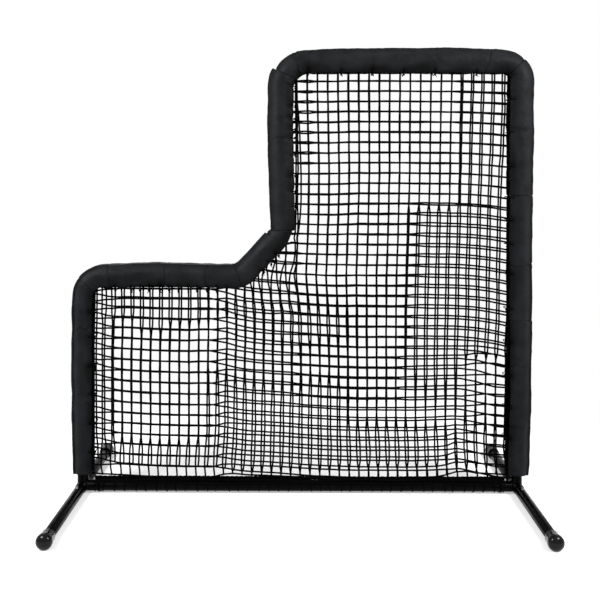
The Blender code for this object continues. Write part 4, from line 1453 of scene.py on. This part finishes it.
    def left_rise(self, level: float, x: np.ndarray) -> np.ndarray:
        """Return how far a row rises to the left: the rear layer hangs one mesh lower than the front one."""
        levels = (0.10, 0.30, 0.50, 0.70, 0.83, 0.93, 1.02, 1.10, 1.26, 1.35, 1.50)
        if self.end is End.FRONT:
            full = (8.0, 14.0, 20.0, 29.0, 32.0, 30.0, 34.0, 30.0, 21.0, 10.0, 0.0)
            places = (-0.30, -0.25, -0.21, -0.18, -0.11, -0.02, 0.01, 0.085, 0.265)
            shares = (1.00, 0.97, 0.75, 0.65, 0.50, 0.42, 0.38, 0.28, 0.0)
        else:
            full = (54.0, 61.0, 70.0, 78.0, 81.0, 70.0, 44.0, 30.0, 21.0, 10.0, 0.0)
            places = (-0.42, -0.385, -0.345, -0.31, -0.26, -0.21, -0.11, -0.02, 0.085, 0.265)
            shares = (1.0, 0.93, 0.88, 0.71, 0.55, 0.43, 0.31, 0.22, 0.11, 0.0)
        rise = float(np.interp(level, levels, full)) * MM * np.interp(x, places, shares)
        if self.end is End.FRONT and level < 0.93:
            rise = rise + 12.0 * MM * np.exp(-(((x + 0.335) / 0.045) ** 2))
        pulled = np.interp(
            x, (-0.96, -0.9325, -0.905, -0.891, -0.86, -0.81, -0.674, -0.50),
            (26.0, 21.0, 17.0, 15.0, 15.0, 12.0, 4.0, 0.0)) * MM
        return rise + pulled * float(np.interp(level, (0.76, 0.87), (1.0, 0.2)))

    def right_dip(self, level: float, x: np.ndarray) -> np.ndarray:
        """Return how far a row falls towards the right upright."""
        full = float(np.interp(level, (0.62, 0.80, 1.00, 1.20, 1.50, 1.90), (36.0, 36.0, 33.0, 28.0, 20.0, 8.0))) * MM
        places = (0.54, 0.72, 0.808, 0.896, 0.952, 1.01)
        upper = full * np.interp(x, places, (0.0, 0.08, 0.26, 0.60, 1.0, 1.1))
        parted = (0.0, -8.0, -14.0, -14.0, -8.0, -8.0)
        if self.end is End.FRONT:
            parted = (0.0, -6.0, 10.0, 36.0, 41.0, 42.0)
        lower = np.interp(x, places, parted) * MM
        share = float(smooth_step(level, 0.60, 0.74))
        return upper * share + lower * (1.0 - share)

    def touching(self, x: np.ndarray, z: np.ndarray) -> np.ndarray:
        """Return 1 where the two layers lie together and 0 where they hang apart."""
        zones = (
            (0.04, 0.67, 0.08, 1.36, 1.93, 0.06),
            (0.02, 0.42, 0.10, 0.46, 1.45, 0.09),
            (-0.835, 0.00, 0.06, 0.60, 0.93, 0.06),
            (-0.835, -0.46, 0.06, 0.11, 0.93, 0.03),
            (0.75, 0.95, 0.04, 0.12, 0.62, 0.05),
        )
        shares = [soft_window(x, left, right, fade) * soft_window(z, low, high, fade_z)
                  for left, right, fade, low, high, fade_z in zones]
        return np.maximum.reduce(shares)

    def spread(self, x: np.ndarray, z: np.ndarray) -> np.ndarray:
        """Return how far the layer hangs from the screen's plane."""
        open_reach = NET_LAYER_OFFSET - 2.4 * MM
        reach = self.touch_gap + (open_reach - self.touch_gap) * (1.0 - self.touching(x, z))
        foot = 1.0 - smooth_step(z, 0.065, 0.13)
        return reach * (1.0 - foot) + self.foot_reach * foot

    def side_step(self, x: np.ndarray, z: np.ndarray) -> np.ndarray:
        """Return how far the layer is pulled along X against the other."""
        places = (-0.87, -0.45, -0.38, 0.00, 0.27, 0.45, 0.63, 0.72, 0.90)
        pull = np.interp(x, places, (6.5, 6.5, 5.8, 7.0, 9.0, 11.0, 12.0, 6.0, 5.0)) * MM
        panel = np.interp(z, (0.08, 0.10, 0.15, 0.20, 0.26), (0.0, 0.8, 1.0, 0.85, 0.0))
        middle = np.interp(z, (0.08, 0.10, 0.15, 0.21, 0.40, 0.50, 0.58), (0.0, 0.6, 0.85, 1.0, 0.95, 0.5, 0.0))
        right = np.interp(z, (0.09, 0.15, 0.21, 0.27, 0.36, 0.50), (0.1, 0.85, 1.0, 0.85, 0.35, 0.0))
        to_middle = smooth_step(x, -0.47, -0.40)
        to_right = smooth_step(x, 0.12, 0.26)
        band = pull * (panel * (1.0 - to_middle) + (middle * (1.0 - to_right) + right * to_right) * to_middle)
        bump = 5.5 * MM * np.exp(-(((x - 0.06) / 0.17) ** 2) - (((z - 0.78) / 0.10) ** 2))
        low_edge = np.interp(x, (-0.80, -0.75, -0.74, -0.64, -0.61, -0.45), (0.79, 0.79, 0.73, 0.73, 0.765, 0.765))
        rail = smooth_step(z, low_edge, low_edge + 0.06) * (z < 1.1) * MM
        brace_step = 2.5 * soft_window(x, -0.40, 0.0, 0.03) * soft_window(z, 0.84, 0.88, 0.03) * MM
        under_rail = np.maximum(rail * 5.0 * soft_window(x, -0.90, -0.45, 0.05), brace_step)
        beside_pad = np.interp(z, (1.22, 1.27, 1.34, 1.39, 1.58, 1.67, 1.75, 1.80),
                               (0.0, 3.5, 6.4, 7.1, 6.0, 4.6, 3.4, 0.0)) * MM * np.exp(
                                   -(((x - self.pair_x) / self.pair_width) ** 2))
        apart = np.interp(x, (0.48, 0.55, 0.72, 0.85, 0.95), (0.0, 2.6, 1.5, 1.0, 0.0)) * MM
        return np.maximum.reduce([band, bump, under_rail, beside_pad]) - apart * soft_window(z, 0.58, 1.28, 0.08)

    def settle(self, x: np.ndarray, z: np.ndarray) -> np.ndarray:
        """Move points of the flat net to where they hang.

        Args:
            x: places along X.
            z: heights.

        Returns:
            N rows of x, y, z.
        """
        calm = smooth_step(z, 0.07, 0.14)
        together = self.beside * self.touching(x, z) * (0.45 + 0.55 * smooth_step(x, -0.44, -0.20))
        sag = np.interp(z, (0.45, 0.70, 0.90, 1.10, 1.32, 1.38), (0.0, 2.4, 3.6, 4.9, 6.0, 0.0)) * MM
        sag = sag * smooth_step(x, 0.48, 0.60)
        by_left_pad = np.interp(x, (-0.951, -0.9325, -0.919, -0.905, -0.891), (8.0, 6.5, 4.4, 1.9, 0.0))
        sag = sag + by_left_pad * MM * (z < 1.1)
        sag = sag + 3.7 * MM * (1.0 - smooth_step(x, 0.03, 0.07)) * smooth_step(z, 1.50, 1.56)
        moved_x = x + calm * (self.drift * self.slack_x.at(x, z) + self.ripple * self.fine_x.at(x, z)
                              + self.side * (self.side_step(x, z) + together))
        moved_z = z + calm * (self.drift * self.slack_z.at(x, z) + self.ripple * self.fine_z.at(x, z)
                              + self.side * (sag + together))
        for anchor_x, anchor_z in self.anchors:
            near = 0.75 * np.exp(-((moved_x - anchor_x) ** 2 + (moved_z - anchor_z) ** 2) / self.anchor_reach ** 2)
            moved_x, moved_z = moved_x + near * (anchor_x - moved_x), moved_z + near * (anchor_z - moved_z)
        reach = self.spread(x, z) + calm * 0.6 * MM * self.slack_y.at(x, z)
        return np.column_stack([moved_x, SCREEN_Y + self.side * np.maximum(reach, self.touch_gap), moved_z])

    def crossings(self) -> np.ndarray:
        """Return the flat net's crossings, as a grid of columns by rows by (x, z)."""
        first, last = self.columns
        grid = np.zeros((last - first + 1, self.rows, 2))
        for i, column in enumerate(range(first, last + 1)):
            for row in range(self.rows):
                x = np.array(0.265 + 0.046 * column)
                z = np.array(self.first_row)
                for _ in range(12):
                    z = self.row_z(row, x)
                    x = self.column_x(column, z)
                grid[i, row] = (float(x), float(z))
        return grid

    def inside(self, x: np.ndarray, z: np.ndarray) -> np.ndarray:
        """Tell which points lie inside the frame's centre line and above the hem."""
        edge_x, edge_z = self.outline[:, 0], self.outline[:, 1]
        next_x, next_z = np.roll(edge_x, -1), np.roll(edge_z, -1)
        crosses = (edge_z[None, :] > z[:, None]) != (next_z[None, :] > z[:, None])
        run = next_z - edge_z
        run = np.where(np.abs(run) < 1e-12, 1e-12, run)
        meet = (next_x - edge_x) * (z[:, None] - edge_z) / run + edge_x
        hits = (crosses & (x[:, None] < meet)).sum(axis=1)
        return (hits % 2 == 1) & (z > self.foot_height)

    def cord_paths(self, nodes: np.ndarray, draw: np.random.RandomState) -> list[np.ndarray]:
        """Cut one cord to the frame's outline.

        Args:
            nodes: the cord's crossings, as rows of (x, z).
            draw: the source of random bows.

        Returns:
            The flat (x, z) path of each length inside the frame.
        """
        steps = np.arange(self.parts) / self.parts
        rows = []
        for first, second in zip(nodes, nodes[1:]):
            along = second - first
            across = np.array([-along[1], along[0]])
            bow = draw.normal(0.0, 0.006) * np.sin(math.pi * steps)
            rows.append(first + steps[:, None] * along + bow[:, None] * across)
        path = np.vstack([*rows, nodes[-1:]])
        keep = self.inside(path[:, 0], path[:, 1])
        pieces: list[list[np.ndarray]] = []
        for index in range(len(path)):
            if keep[index]:
                if index == 0 or not keep[index - 1]:
                    pieces.append([self.edge_point(path[index], path[index - 1])] if index else [])
                pieces[-1].append(path[index])
            elif index and keep[index - 1]:
                pieces[-1].append(self.edge_point(path[index - 1], path[index]))
        return [np.array(piece) for piece in pieces if len(piece) > 2]

    def edge_point(self, within: np.ndarray, beyond: np.ndarray) -> np.ndarray:
        """Return the point where a step from inside to outside meets the edge."""
        low, high = 0.0, 1.0
        for _ in range(8):
            middle = (low + high) / 2
            point = within + (beyond - within) * middle
            if bool(self.inside(point[:1], point[1:])[0]):
                low = middle
            else:
                high = middle
        return within + (beyond - within) * max(low, 0.02)

    def build(self) -> bpy.types.Object:
        """Make the layer's cords and knots as one piece.

        Returns:
            The layer.
        """
        draw = np.random.RandomState(self.seed + 20)
        grid = self.crossings()
        batch = TubeBatch(sides=6)
        cords = [grid[i] for i in range(grid.shape[0])] + [grid[:, j] for j in range(grid.shape[1])]
        for nodes in cords:
            for flat in self.cord_paths(nodes, draw):
                batch.add_path(self.settle(flat[:, 0], flat[:, 1]), self.cord_radius, reference=(0.0, 1.0, 0.0))
        flat_knots = grid.reshape(-1, 2)
        shown = self.inside(flat_knots[:, 0], flat_knots[:, 1])
        places = self.settle(flat_knots[shown, 0], flat_knots[shown, 1])
        knot = knot_template(self.knot_size, 2.5 * MM, 15, 5)
        turns = []
        for _ in places:
            spin = Matrix.Rotation(draw.uniform(0, 2 * math.pi), 3, "Y")
            lean = Matrix.Rotation(draw.uniform(-0.35, 0.35), 3, "X")
            turns.append(np.array(lean @ spin))
        batch.add_copies(knot, places, np.array(turns))
        obj = batch.make(self.end.label + "_net_cords", TWINE)
        return hand_over(obj, stands_for=[self.end.label + "_net"])


# Hem ropes, lacing and rail ties


@dataclass
class Hem:
    """The net's hem ropes on the bottom rail, the lacing that holds them and the two rail ties."""

    reach: float = 0.955
    tie_x: float = 0.934
    strand_angles: tuple[float, ...] = (96.0, 66.0, 38.0, 128.0)  # round the rail, from the front over the top
    strand_radii: tuple[float, ...] = (9.4 * MM, 6.6 * MM, 4.8 * MM, 7.2 * MM)
    lacing_radius: float = 1.7 * MM
    lacing_spacing: float = 47.0 * MM
    tie_cord_radius: float = 1.6 * MM
    lacing_lift: float = 11.6 * MM  # how far the lacing rises over the ropes
    tie_lift: float = 18.0 * MM

    def rail_point(self, x: float, angle: float, distance: float) -> Vector:
        """Return a point at an angle round the rail and a distance from its surface."""
        reach = TUBE_RADIUS + distance
        turn = math.radians(angle)
        return Vector((x, SCREEN_Y - reach * math.cos(turn), AXIS_HEIGHT + reach * math.sin(turn)))

    def build(self) -> None:
        """Make the ropes, the lacing and the ties."""
        self.build_ropes()
        self.build_lacing()
        for side in Side:
            self.build_tie(side)

    def build_ropes(self) -> None:
        """Make the laid ropes, each of three strands wound round one another."""
        batch = TubeBatch(sides=8)
        points = 460
        for number, (angle, radius) in enumerate(zip(self.strand_angles, self.strand_radii)):
            wander = Ripples(300 + number, 0.42)
            reach = self.reach - 0.006 * number
            xs = np.linspace(-reach, reach, points)
            strand_radius = radius * 0.54
            lay = radius * 7.0
            for strand in range(3):
                path = []
                for x in xs:
                    sway = 4.0 * float(wander.at(x, 0.0))
                    middle = self.rail_point(x, angle + sway, radius + 0.3 * MM)
                    turn = 2 * math.pi * (x / lay + strand / 3)
                    offset = radius - strand_radius
                    path.append(middle + Vector((0.0, math.cos(turn), math.sin(turn))) * offset)
                batch.add_path(np.array(path), strand_radius, reference=(0.0, 0.0, 1.0))
        hand_over(batch.make("hem_ropes", TWINE), stands_for=["hem_rope"])

    def build_lacing(self) -> None:
        """Make the lacing: one loop round the rail and the ropes at each mesh, with a knot here and there."""
        draw = np.random.RandomState(77)
        batch = TubeBatch(sides=7)
        knot = knot_template(4.2 * MM, 1.7 * MM, 18, 6)
        count = int(2 * self.reach / self.lacing_spacing)
        for index in range(count + 1):
            x = -self.reach + 2 * self.reach * index / count + draw.uniform(-6.0, 6.0) * MM
            lean = draw.uniform(-7.0, 7.0) * MM
            path = []
            for angle in range(0, 360, 15):
                over_ropes = math.exp(-(((angle - 80.0) / 52.0) ** 2))
                lift = self.lacing_radius + 0.3 * MM + over_ropes * self.lacing_lift
                path.append(self.rail_point(x + lean * math.sin(math.radians(angle)), angle, lift))
            batch.add_path(np.array(path), self.lacing_radius, closed=True)
            if index % 3 == 0:
                place = self.rail_point(x, draw.uniform(84.0, 100.0), 13.5 * MM)
                spin = Matrix.Rotation(draw.uniform(0, math.pi), 3, "Z")
                batch.add_copies(knot, np.array([place]), np.array([np.array(spin)]))
        hand_over(batch.make("hem_lacing", TWINE))

    def build_tie(self, side: Side) -> None:
        """Make the tie round one end of the rail: two turns of cord and a knot with tails underneath.

        Args:
            side: which end of the rail.
        """
        draw = np.random.RandomState(40 + int(side.value))
        batch = TubeBatch(sides=10)
        x = side.value * self.tie_x
        steps = 64
        path = []
        for index in range(steps):
            angle = 360.0 * 2 * index / steps
            slip = 1.7 * MM * math.cos(math.radians(angle / 2))
            over_ropes = math.exp(-((((angle % 360.0) - 84.0) / 46.0) ** 2))
            lift = self.tie_cord_radius + 0.2 * MM + over_ropes * self.tie_lift
            path.append(self.rail_point(x + slip, angle, lift))
        batch.add_path(np.array(path), self.tie_cord_radius, closed=True)
        knot = knot_template(2.4 * MM, 1.4 * MM, 22, 7)
        batch.add_copies(knot, np.array([self.rail_point(x, 270.0, 2.3 * MM)]), np.array([np.eye(3)]))
        for way in (-1.0, 1.0):
            start = self.rail_point(x + way * 2.0 * MM, 268.0, 2.6 * MM)
            tail = [start]
            for _ in range(4):
                drift = Vector((way * 1.8 + draw.uniform(-0.6, 0.6), draw.uniform(-1.6, 1.2), 0.0)) * MM
                tail.append(tail[-1] + drift)
            batch.add_path(rounded(np.array(tail), 3), self.tie_cord_radius * 0.9)
        obj = batch.make(side.label + "_rail_tie_cord", TWINE)
        hand_over(obj, stands_for=[side.label + "_rail_tie"])


# Steel


@dataclass
class SteelFrame:
    """The bottom rail and the two welded corner fittings."""

    hub_radius: float = 26.0 * MM
    hub_half: float = 55.0 * MM
    neck_length: float = 72.0 * MM
    stub_length: float = 110.0 * MM
    stub_radius: float = 23.4 * MM
    spigot_length: float = 130.0 * MM
    spigot_radius: float = 22.15 * MM
    spigot_bore: float = 19.65 * MM
    tube_wall: float = 1.6 * MM
    seat_gap: float = 0.3 * MM
    button_offset: float = 60.0 * MM
    button_hole: float = 4.5 * MM
    bead_radius: float = 2.3 * MM
    bead_pitch: float = 3.4 * MM

    def build(self) -> None:
        """Make the rail and the fittings."""
        reach = HALF_SPACING - self.neck_length - self.seat_gap
        rail = pipe("bottom_rail_tube", Vector((-reach, SCREEN_Y, AXIS_HEIGHT)),
                    Vector((reach, SCREEN_Y, AXIS_HEIGHT)), TUBE_RADIUS, self.tube_wall, POWDER_COAT, 96)
        hand_over(rail, stands_for=["bottom_rail"])
        for side in Side:
            self.build_fitting(side)

    def build_fitting(self, side: Side) -> None:
        """Make one corner fitting with its spigots, bores and button holes.

        Args:
            side: which corner.
        """
        centre = Vector((side.value * HALF_SPACING, SCREEN_Y, AXIS_HEIGHT))
        along = Vector((0.0, 1.0, 0.0))
        up = Vector((0.0, 0.0, 1.0))
        inboard = Vector((-side.value, 0.0, 0.0))
        ease = 0.6 * MM
        reach = self.hub_half + self.spigot_length
        hub = round_bar(side.label + "_corner_weldment", centre - along * self.hub_half,
                        centre + along * self.hub_half, self.hub_radius, POWDER_COAT, ease)
        joined = [round_bar("spigots", centre - along * reach, centre + along * reach, self.spigot_radius,
                            POWDER_COAT, 1.2 * MM)]
        bores = [round_bar("leg_bore", centre - along * (reach + 0.01), centre + along * (reach + 0.01),
                           self.spigot_bore, POWDER_COAT)]
        for label, way in (("upright", up), ("rail", inboard)):
            shoulder = centre + way * self.neck_length
            joined.append(round_bar(label + "_neck", centre - way * 4.0 * MM, shoulder, TUBE_RADIUS,
                                    POWDER_COAT, ease))
            joined.append(round_bar(label + "_stub", shoulder - way * 5.0 * MM, shoulder + way * self.stub_length,
                                    self.stub_radius, POWDER_COAT, 1.0 * MM))
            bores.append(round_bar(label + "_bore", centre + way * self.spigot_bore * 0.5,
                                   shoulder + way * (self.stub_length + 0.01), self.stub_radius - 2.5 * MM,
                                   POWDER_COAT))
        for end in End:
            base = centre + along * end.value * (self.hub_half + self.button_offset)
            bores.append(
                round_bar(end.label + "_hole", base, base + up * 0.03, self.button_hole, POWDER_COAT, steps=32))
        cut_and_join(hub, joined, bores)
        hand_over(hub, stands_for=[side.label + "_corner_fitting"])
        self.build_weld_beads(side, centre, inboard, up, along)

    def build_weld_beads(self, side: Side, centre: Vector, inboard: Vector, up: Vector, along: Vector) -> None:
        """Make the rippled weld beads where the necks meet the hub and each other.

        Args:
            side: which corner.
            centre: the hub's middle.
            inboard: the direction of the rail's neck.
            up: the direction of the upright's neck.
            along: the hub's direction.
        """
        batch = TubeBatch(sides=10)
        tube, hub = TUBE_RADIUS, self.hub_radius
        meet = 0.5 * math.acos((hub ** 2 - tube ** 2) / tube ** 2)
        for way, other in ((up, inboard), (inboard, up)):
            path = []
            steps = 150
            for index in range(steps + 1):
                angle = meet + (2 * math.pi - 2 * meet) * index / steps
                sideways, depth = tube * math.cos(angle), tube * math.sin(angle)
                rise = math.sqrt(max(hub ** 2 - sideways ** 2, 0.0))
                path.append(centre + other * sideways + along * depth + way * rise)
            batch.add_path(np.array(path), self.rippled(np.array(path)))
        mitre = []
        for index in range(61):
            angle = -meet + 2 * meet * index / 60
            reach, depth = tube * math.cos(angle), tube * math.sin(angle)
            mitre.append(centre + (up + inboard) * reach + along * depth)
        batch.add_path(np.array(mitre), self.rippled(np.array(mitre)))
        hand_over(batch.make(side.label + "_weld_beads", POWDER_COAT))

    def rippled(self, path: np.ndarray) -> np.ndarray:
        """Return a weld bead's radius at each point: one ripple for each step of the torch."""
        along = np.concatenate([[0.0], np.cumsum(np.linalg.norm(np.diff(path, axis=0), axis=1))])
        return self.bead_radius * (1.0 + 0.13 * np.abs(np.sin(math.pi * along / self.bead_pitch)))


@dataclass
class HalfLeg:
    """One half leg: its tube, its ball-nosed end cap and its snap button."""

    side: Side
    end: End
    radius: float = 24.15 * MM
    wall: float = 1.6 * MM
    hub_half: float = 55.0 * MM
    seat_gap: float = 0.3 * MM
    button_offset: float = 60.0 * MM
    button_hole: float = 4.5 * MM
    button_radius: float = 4.0 * MM
    flange_radius: float = 5.5 * MM
    cap_radius: float = 33.5 * MM
    collar_radius: float = 30.0 * MM
    sleeve: float = 60.0 * MM
    nose: float = 26.0 * MM
    end_wall: float = 13.0 * MM
    front_reach: float = 0.665
    rear_reach: float = 0.554

    @property
    def label(self) -> str:
        """Return the corner's words in node names."""
        return f"{self.side.label}_{self.end.label}"

    @property
    def tip(self) -> float:
        """Return where the leg's tube ends, along Y."""
        reach = self.front_reach if self.end is End.FRONT else self.rear_reach
        return SCREEN_Y + self.end.value * reach

    def axis_point(self, y: float) -> Vector:
        """Return the point of the leg's axis at a place along Y."""
        return Vector((self.side.value * HALF_SPACING, y, AXIS_HEIGHT))

    def build(self) -> None:
        """Make the three pieces."""
        self.build_tube()
        self.build_cap()
        self.build_button()

    def build_tube(self) -> None:
        """Make the open tube with its button hole."""
        shoulder = SCREEN_Y + self.end.value * (self.hub_half + self.seat_gap)
        tube = pipe(self.label + "_leg_tube", self.axis_point(shoulder), self.axis_point(self.tip), self.radius,
                    self.wall, POWDER_COAT, 96)
        base = self.axis_point(SCREEN_Y + self.end.value * (self.hub_half + self.button_offset))
        hole = round_bar("hole", base, base + Vector((0.0, 0.0, 0.035)), self.button_hole, POWDER_COAT, steps=32)
        cut_and_join(tube, [], [hole])
        hand_over(tube, self.label + "_leg_body", [self.label + "_leg"])

    def cap_profile(self) -> list[tuple[float, float]]:
        """Return the cap's half section, from the nose back to the bottom of its socket."""
        profile = []
        for step in range(17):
            angle = math.pi / 2 * step / 16
            profile.append((self.cap_radius * math.sin(angle), self.sleeve + self.nose * math.cos(angle)))
        profile[0] = (0.0, profile[0][1])
        neck = 0.36 * self.sleeve
        profile += [
            (self.cap_radius, 0.93 * self.sleeve),
            (self.cap_radius - 0.25 * MM, 0.84 * self.sleeve),
            (self.cap_radius - 1.1 * MM, 0.72 * self.sleeve),
            (self.cap_radius - 2.4 * MM, 0.58 * self.sleeve),
            (self.collar_radius + 0.3 * MM, 0.46 * self.sleeve),
            (self.collar_radius, neck),
            (self.collar_radius, 4.2 * MM),
            (self.collar_radius - 0.3 * MM, 2.4 * MM),
            (self.collar_radius - 1.0 * MM, 0.9 * MM),
            (self.collar_radius - 2.1 * MM, 0.1 * MM),
            (self.radius + 0.3 * MM, 0.0),
            (self.radius + 0.3 * MM, self.sleeve + self.nose - self.end_wall + 0.3 * MM),
            (0.0, self.sleeve + self.nose - self.end_wall + 0.3 * MM),
        ]
        return profile

    def build_cap(self) -> None:
        """Make the moulded cap, with the flat on which it stands."""
        way = self.end.value
        rim = self.tip + way * (self.end_wall - self.nose - self.sleeve)
        cap = turned_object(
            self.label + "_leg_cap_moulding", self.cap_profile(), 96, self.axis_point(rim), (0.0, way, 0.0),
            VINYL)
        for vertex in cap.data.vertices:
            vertex.co.z = max(vertex.co.z, 0.0)
        hand_over(cap, self.label + "_leg_body", [self.label + "_leg_cap"])

    def build_button(self) -> None:
        """Make the snap button with its domed head and flange."""
        base = self.axis_point(SCREEN_Y + self.end.value * (self.hub_half + self.button_offset))
        low, high = (corner[2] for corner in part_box(self.label + "_snap_button"))
        foot = low - AXIS_HEIGHT
        head = high - AXIS_HEIGHT
        flange_top = foot + 1.2 * MM
        dome = 1.5 * MM
        profile = [(0.0, head)]
        for step in range(1, 7):
            angle = math.pi / 2 * step / 6
            profile.append((self.button_radius * math.sin(angle), head - dome * (1 - math.cos(angle))))
        profile += [
            (self.button_radius, flange_top + 0.4 * MM), (self.button_radius + 0.4 * MM, flange_top),
            (self.flange_radius - 0.2 * MM, flange_top), (self.flange_radius, flange_top - 0.2 * MM),
            (self.flange_radius, foot + 0.2 * MM), (self.flange_radius - 0.2 * MM, foot), (0.0, foot),]
        button = turned_object(self.label + "_snap_button_pin", profile, 40, base, (0.0, 0.0, 1.0), ZINC)
        hand_over(button, self.label + "_button_body", [self.label + "_snap_button"])


def dress_cad_nodes() -> None:
    """Give the CAD nodes that stay in the picture their finishes."""
    finishes = {
        POWDER_COAT: ["left_upright", "low_rail", "notch_brace", "inner_upright", "top_rail",
                      "right_upright_upper", "right_upright_lower"],
        ZINC: [name + "_joint_sleeve" for name in ("low_corner", "brace_foot", "brace_head", "top_left",
                                                   "top_right", "right")],
        SPRING_STEEL: [f"{side.label}_{end.label}_button_spring" for side in Side for end in End],
    }
    for finish, nodes in finishes.items():
        for node in nodes:
            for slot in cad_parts[node].material_slots:
                slot.material = finish.material()
            LOG.info("%s: CAD node in %s", node, finish.name)


# Studio


@dataclass
class Studio:
    """The camera, two soft lamps, a pale floor and a white surround."""

    camera_place: tuple[float, float, float] = (-0.0174, SCREEN_Y - 4.16, 1.4820)
    yaw: float = -0.181
    pitch: float = 2.096
    roll: float = 0.224
    lens: float = 54.15
    shift_y: float = -0.1539
    lamp_place: tuple[float, float, float] = (2.5, -2.0, 3.0)
    lamp_size: float = 1.3
    lamp_power: float = 150.0
    fill: float = 0.55
    floor_colour: str = "E8E8E8"
    floor_reach: float = 60.0
    floor_lift: float = 0.36  # how much paler the camera sees the floor than the lamps make it
    fade_start: float = 1.3  # metres from the middle, where the floor begins to turn into the surround
    fade_end: float = 2.4

    def build(self) -> None:
        """Make the whole studio."""
        self.build_camera()
        self.build_lamps()
        self.build_surround()
        self.build_floor()
        bpy.context.scene.view_settings.view_transform = "Standard"

    def build_camera(self) -> None:
        """Set the camera to the photograph's place and lens."""
        yaw, pitch, roll = (math.radians(a) for a in (self.yaw, self.pitch, self.roll))
        right = Vector((math.cos(yaw), math.sin(yaw), 0.0))
        ahead = Vector((-math.sin(yaw) * math.cos(pitch), math.cos(yaw) * math.cos(pitch), -math.sin(pitch)))
        up = right.cross(ahead)
        leaned_right = right * math.cos(roll) + up * math.sin(roll)
        leaned_up = up * math.cos(roll) - right * math.sin(roll)
        turn = Matrix((leaned_right, leaned_up, -ahead)).transposed().to_4x4()
        data = bpy.data.cameras.new("camera")
        data.lens = self.lens
        data.sensor_width = 36.0
        data.shift_y = self.shift_y
        data.clip_end = 200.0
        camera = bpy.data.objects.new("camera", data)
        camera.matrix_world = Matrix.Translation(Vector(self.camera_place)) @ turn
        bpy.context.scene.collection.objects.link(camera)
        bpy.context.scene.camera = camera

    def build_lamps(self) -> None:
        """Hang a soft lamp on each side of the camera, above it."""
        target = Vector((0.0, SCREEN_Y, 0.9))
        for side in Side:
            data = bpy.data.lights.new(side.label + "_softbox", "AREA")
            data.shape = "SQUARE"
            data.size = self.lamp_size
            data.energy = self.lamp_power
            lamp = bpy.data.objects.new(side.label + "_softbox", data)
            x, y, z = self.lamp_place
            lamp.location = (side.value * x, y, z)
            lamp.rotation_mode = "QUATERNION"
            lamp.rotation_quaternion = (target - lamp.location).to_track_quat("-Z", "Y")
            bpy.context.scene.collection.objects.link(lamp)

    def seen_rays(self, tree: bpy.types.NodeTree) -> bpy.types.Node:
        """Return a node that gives 1 for camera, glossy and transmission rays."""
        rays = add_node(tree, "LightPath").outputs
        either = add_node(tree, "Math", {
            0: rays["Is Camera Ray"], 1: rays["Is Glossy Ray"]}, operation="MAXIMUM")
        return add_node(tree, "Math", {0: either, 1: rays["Is Transmission Ray"]}, operation="MAXIMUM")

    def build_surround(self) -> None:
        """Make the white surround, dimmer as a light than as a background."""
        world = bpy.data.worlds.new("studio_surround")
        world.use_nodes = True
        tree = world.node_tree
        tree.nodes.clear()
        light = add_node(tree, "Background", {"Color": WHITE, "Strength": self.fill})
        seen = add_node(tree, "Background", {"Color": WHITE, "Strength": 1.0})
        mix = add_node(tree, "MixShader", {0: self.seen_rays(tree), 1: light, 2: seen})
        add_node(tree, "OutputWorld", {"Surface": mix})
        bpy.context.scene.world = world

    def build_floor(self) -> None:
        """Lay the pale floor, which fades into the white surround away from the screen."""
        reach = self.floor_reach
        mesh = bpy.data.meshes.new("studio_floor")
        mesh.from_pydata([(-reach, -reach, 0.0), (reach, -reach, 0.0), (reach, reach, 0.0), (-reach, reach, 0.0)],
                         [], [(0, 1, 2, 3)])
        floor = bpy.data.objects.new("studio_floor", mesh)
        bpy.context.scene.collection.objects.link(floor)
        material = bpy.data.materials.new("pale_floor_paper")
        material.use_nodes = True
        tree = material.node_tree
        tree.nodes.clear()
        place = add_node(tree, "TexCoord").outputs["Object"]
        away = add_node(tree, "VectorMath", {0: place}, operation="LENGTH").outputs["Value"]
        fade = add_node(tree, "MapRange", {
            "Value": away, "From Min": self.fade_start, "From Max": self.fade_end},
            interpolation_type="SMOOTHSTEP")
        paper = add_node(tree, "BsdfDiffuse", {"Color": srgb_to_linear(self.floor_colour)})
        lift = add_node(tree, "Emission", {"Color": WHITE, "Strength": self.floor_lift})
        lit = add_node(tree, "AddShader", {0: paper, 1: lift})
        glow = add_node(tree, "Emission", {"Color": WHITE, "Strength": 1.0})
        faded = add_node(tree, "MixShader", {0: fade, 1: lit, 2: glow})
        mix = add_node(tree, "MixShader", {0: self.seen_rays(tree), 1: paper, 2: faded})
        add_node(tree, "OutputMaterial", {"Surface": mix})
        mesh.materials.append(material)


def main() -> None:
    """Build the screen's pieces in order, and the studio."""
    logging.basicConfig(level=logging.INFO, format="%(name)s: %(message)s")
    Studio().build()
    SteelFrame().build()
    for side in Side:
        for end in End:
            HalfLeg(side, end).build()
    PadSet().build()
    NetLayer(End.FRONT, seed=100).build()
    NetLayer(End.REAR, seed=200).build()
    Hem().build()
    dress_cad_nodes()


if __name__ == "__main__":
    main()
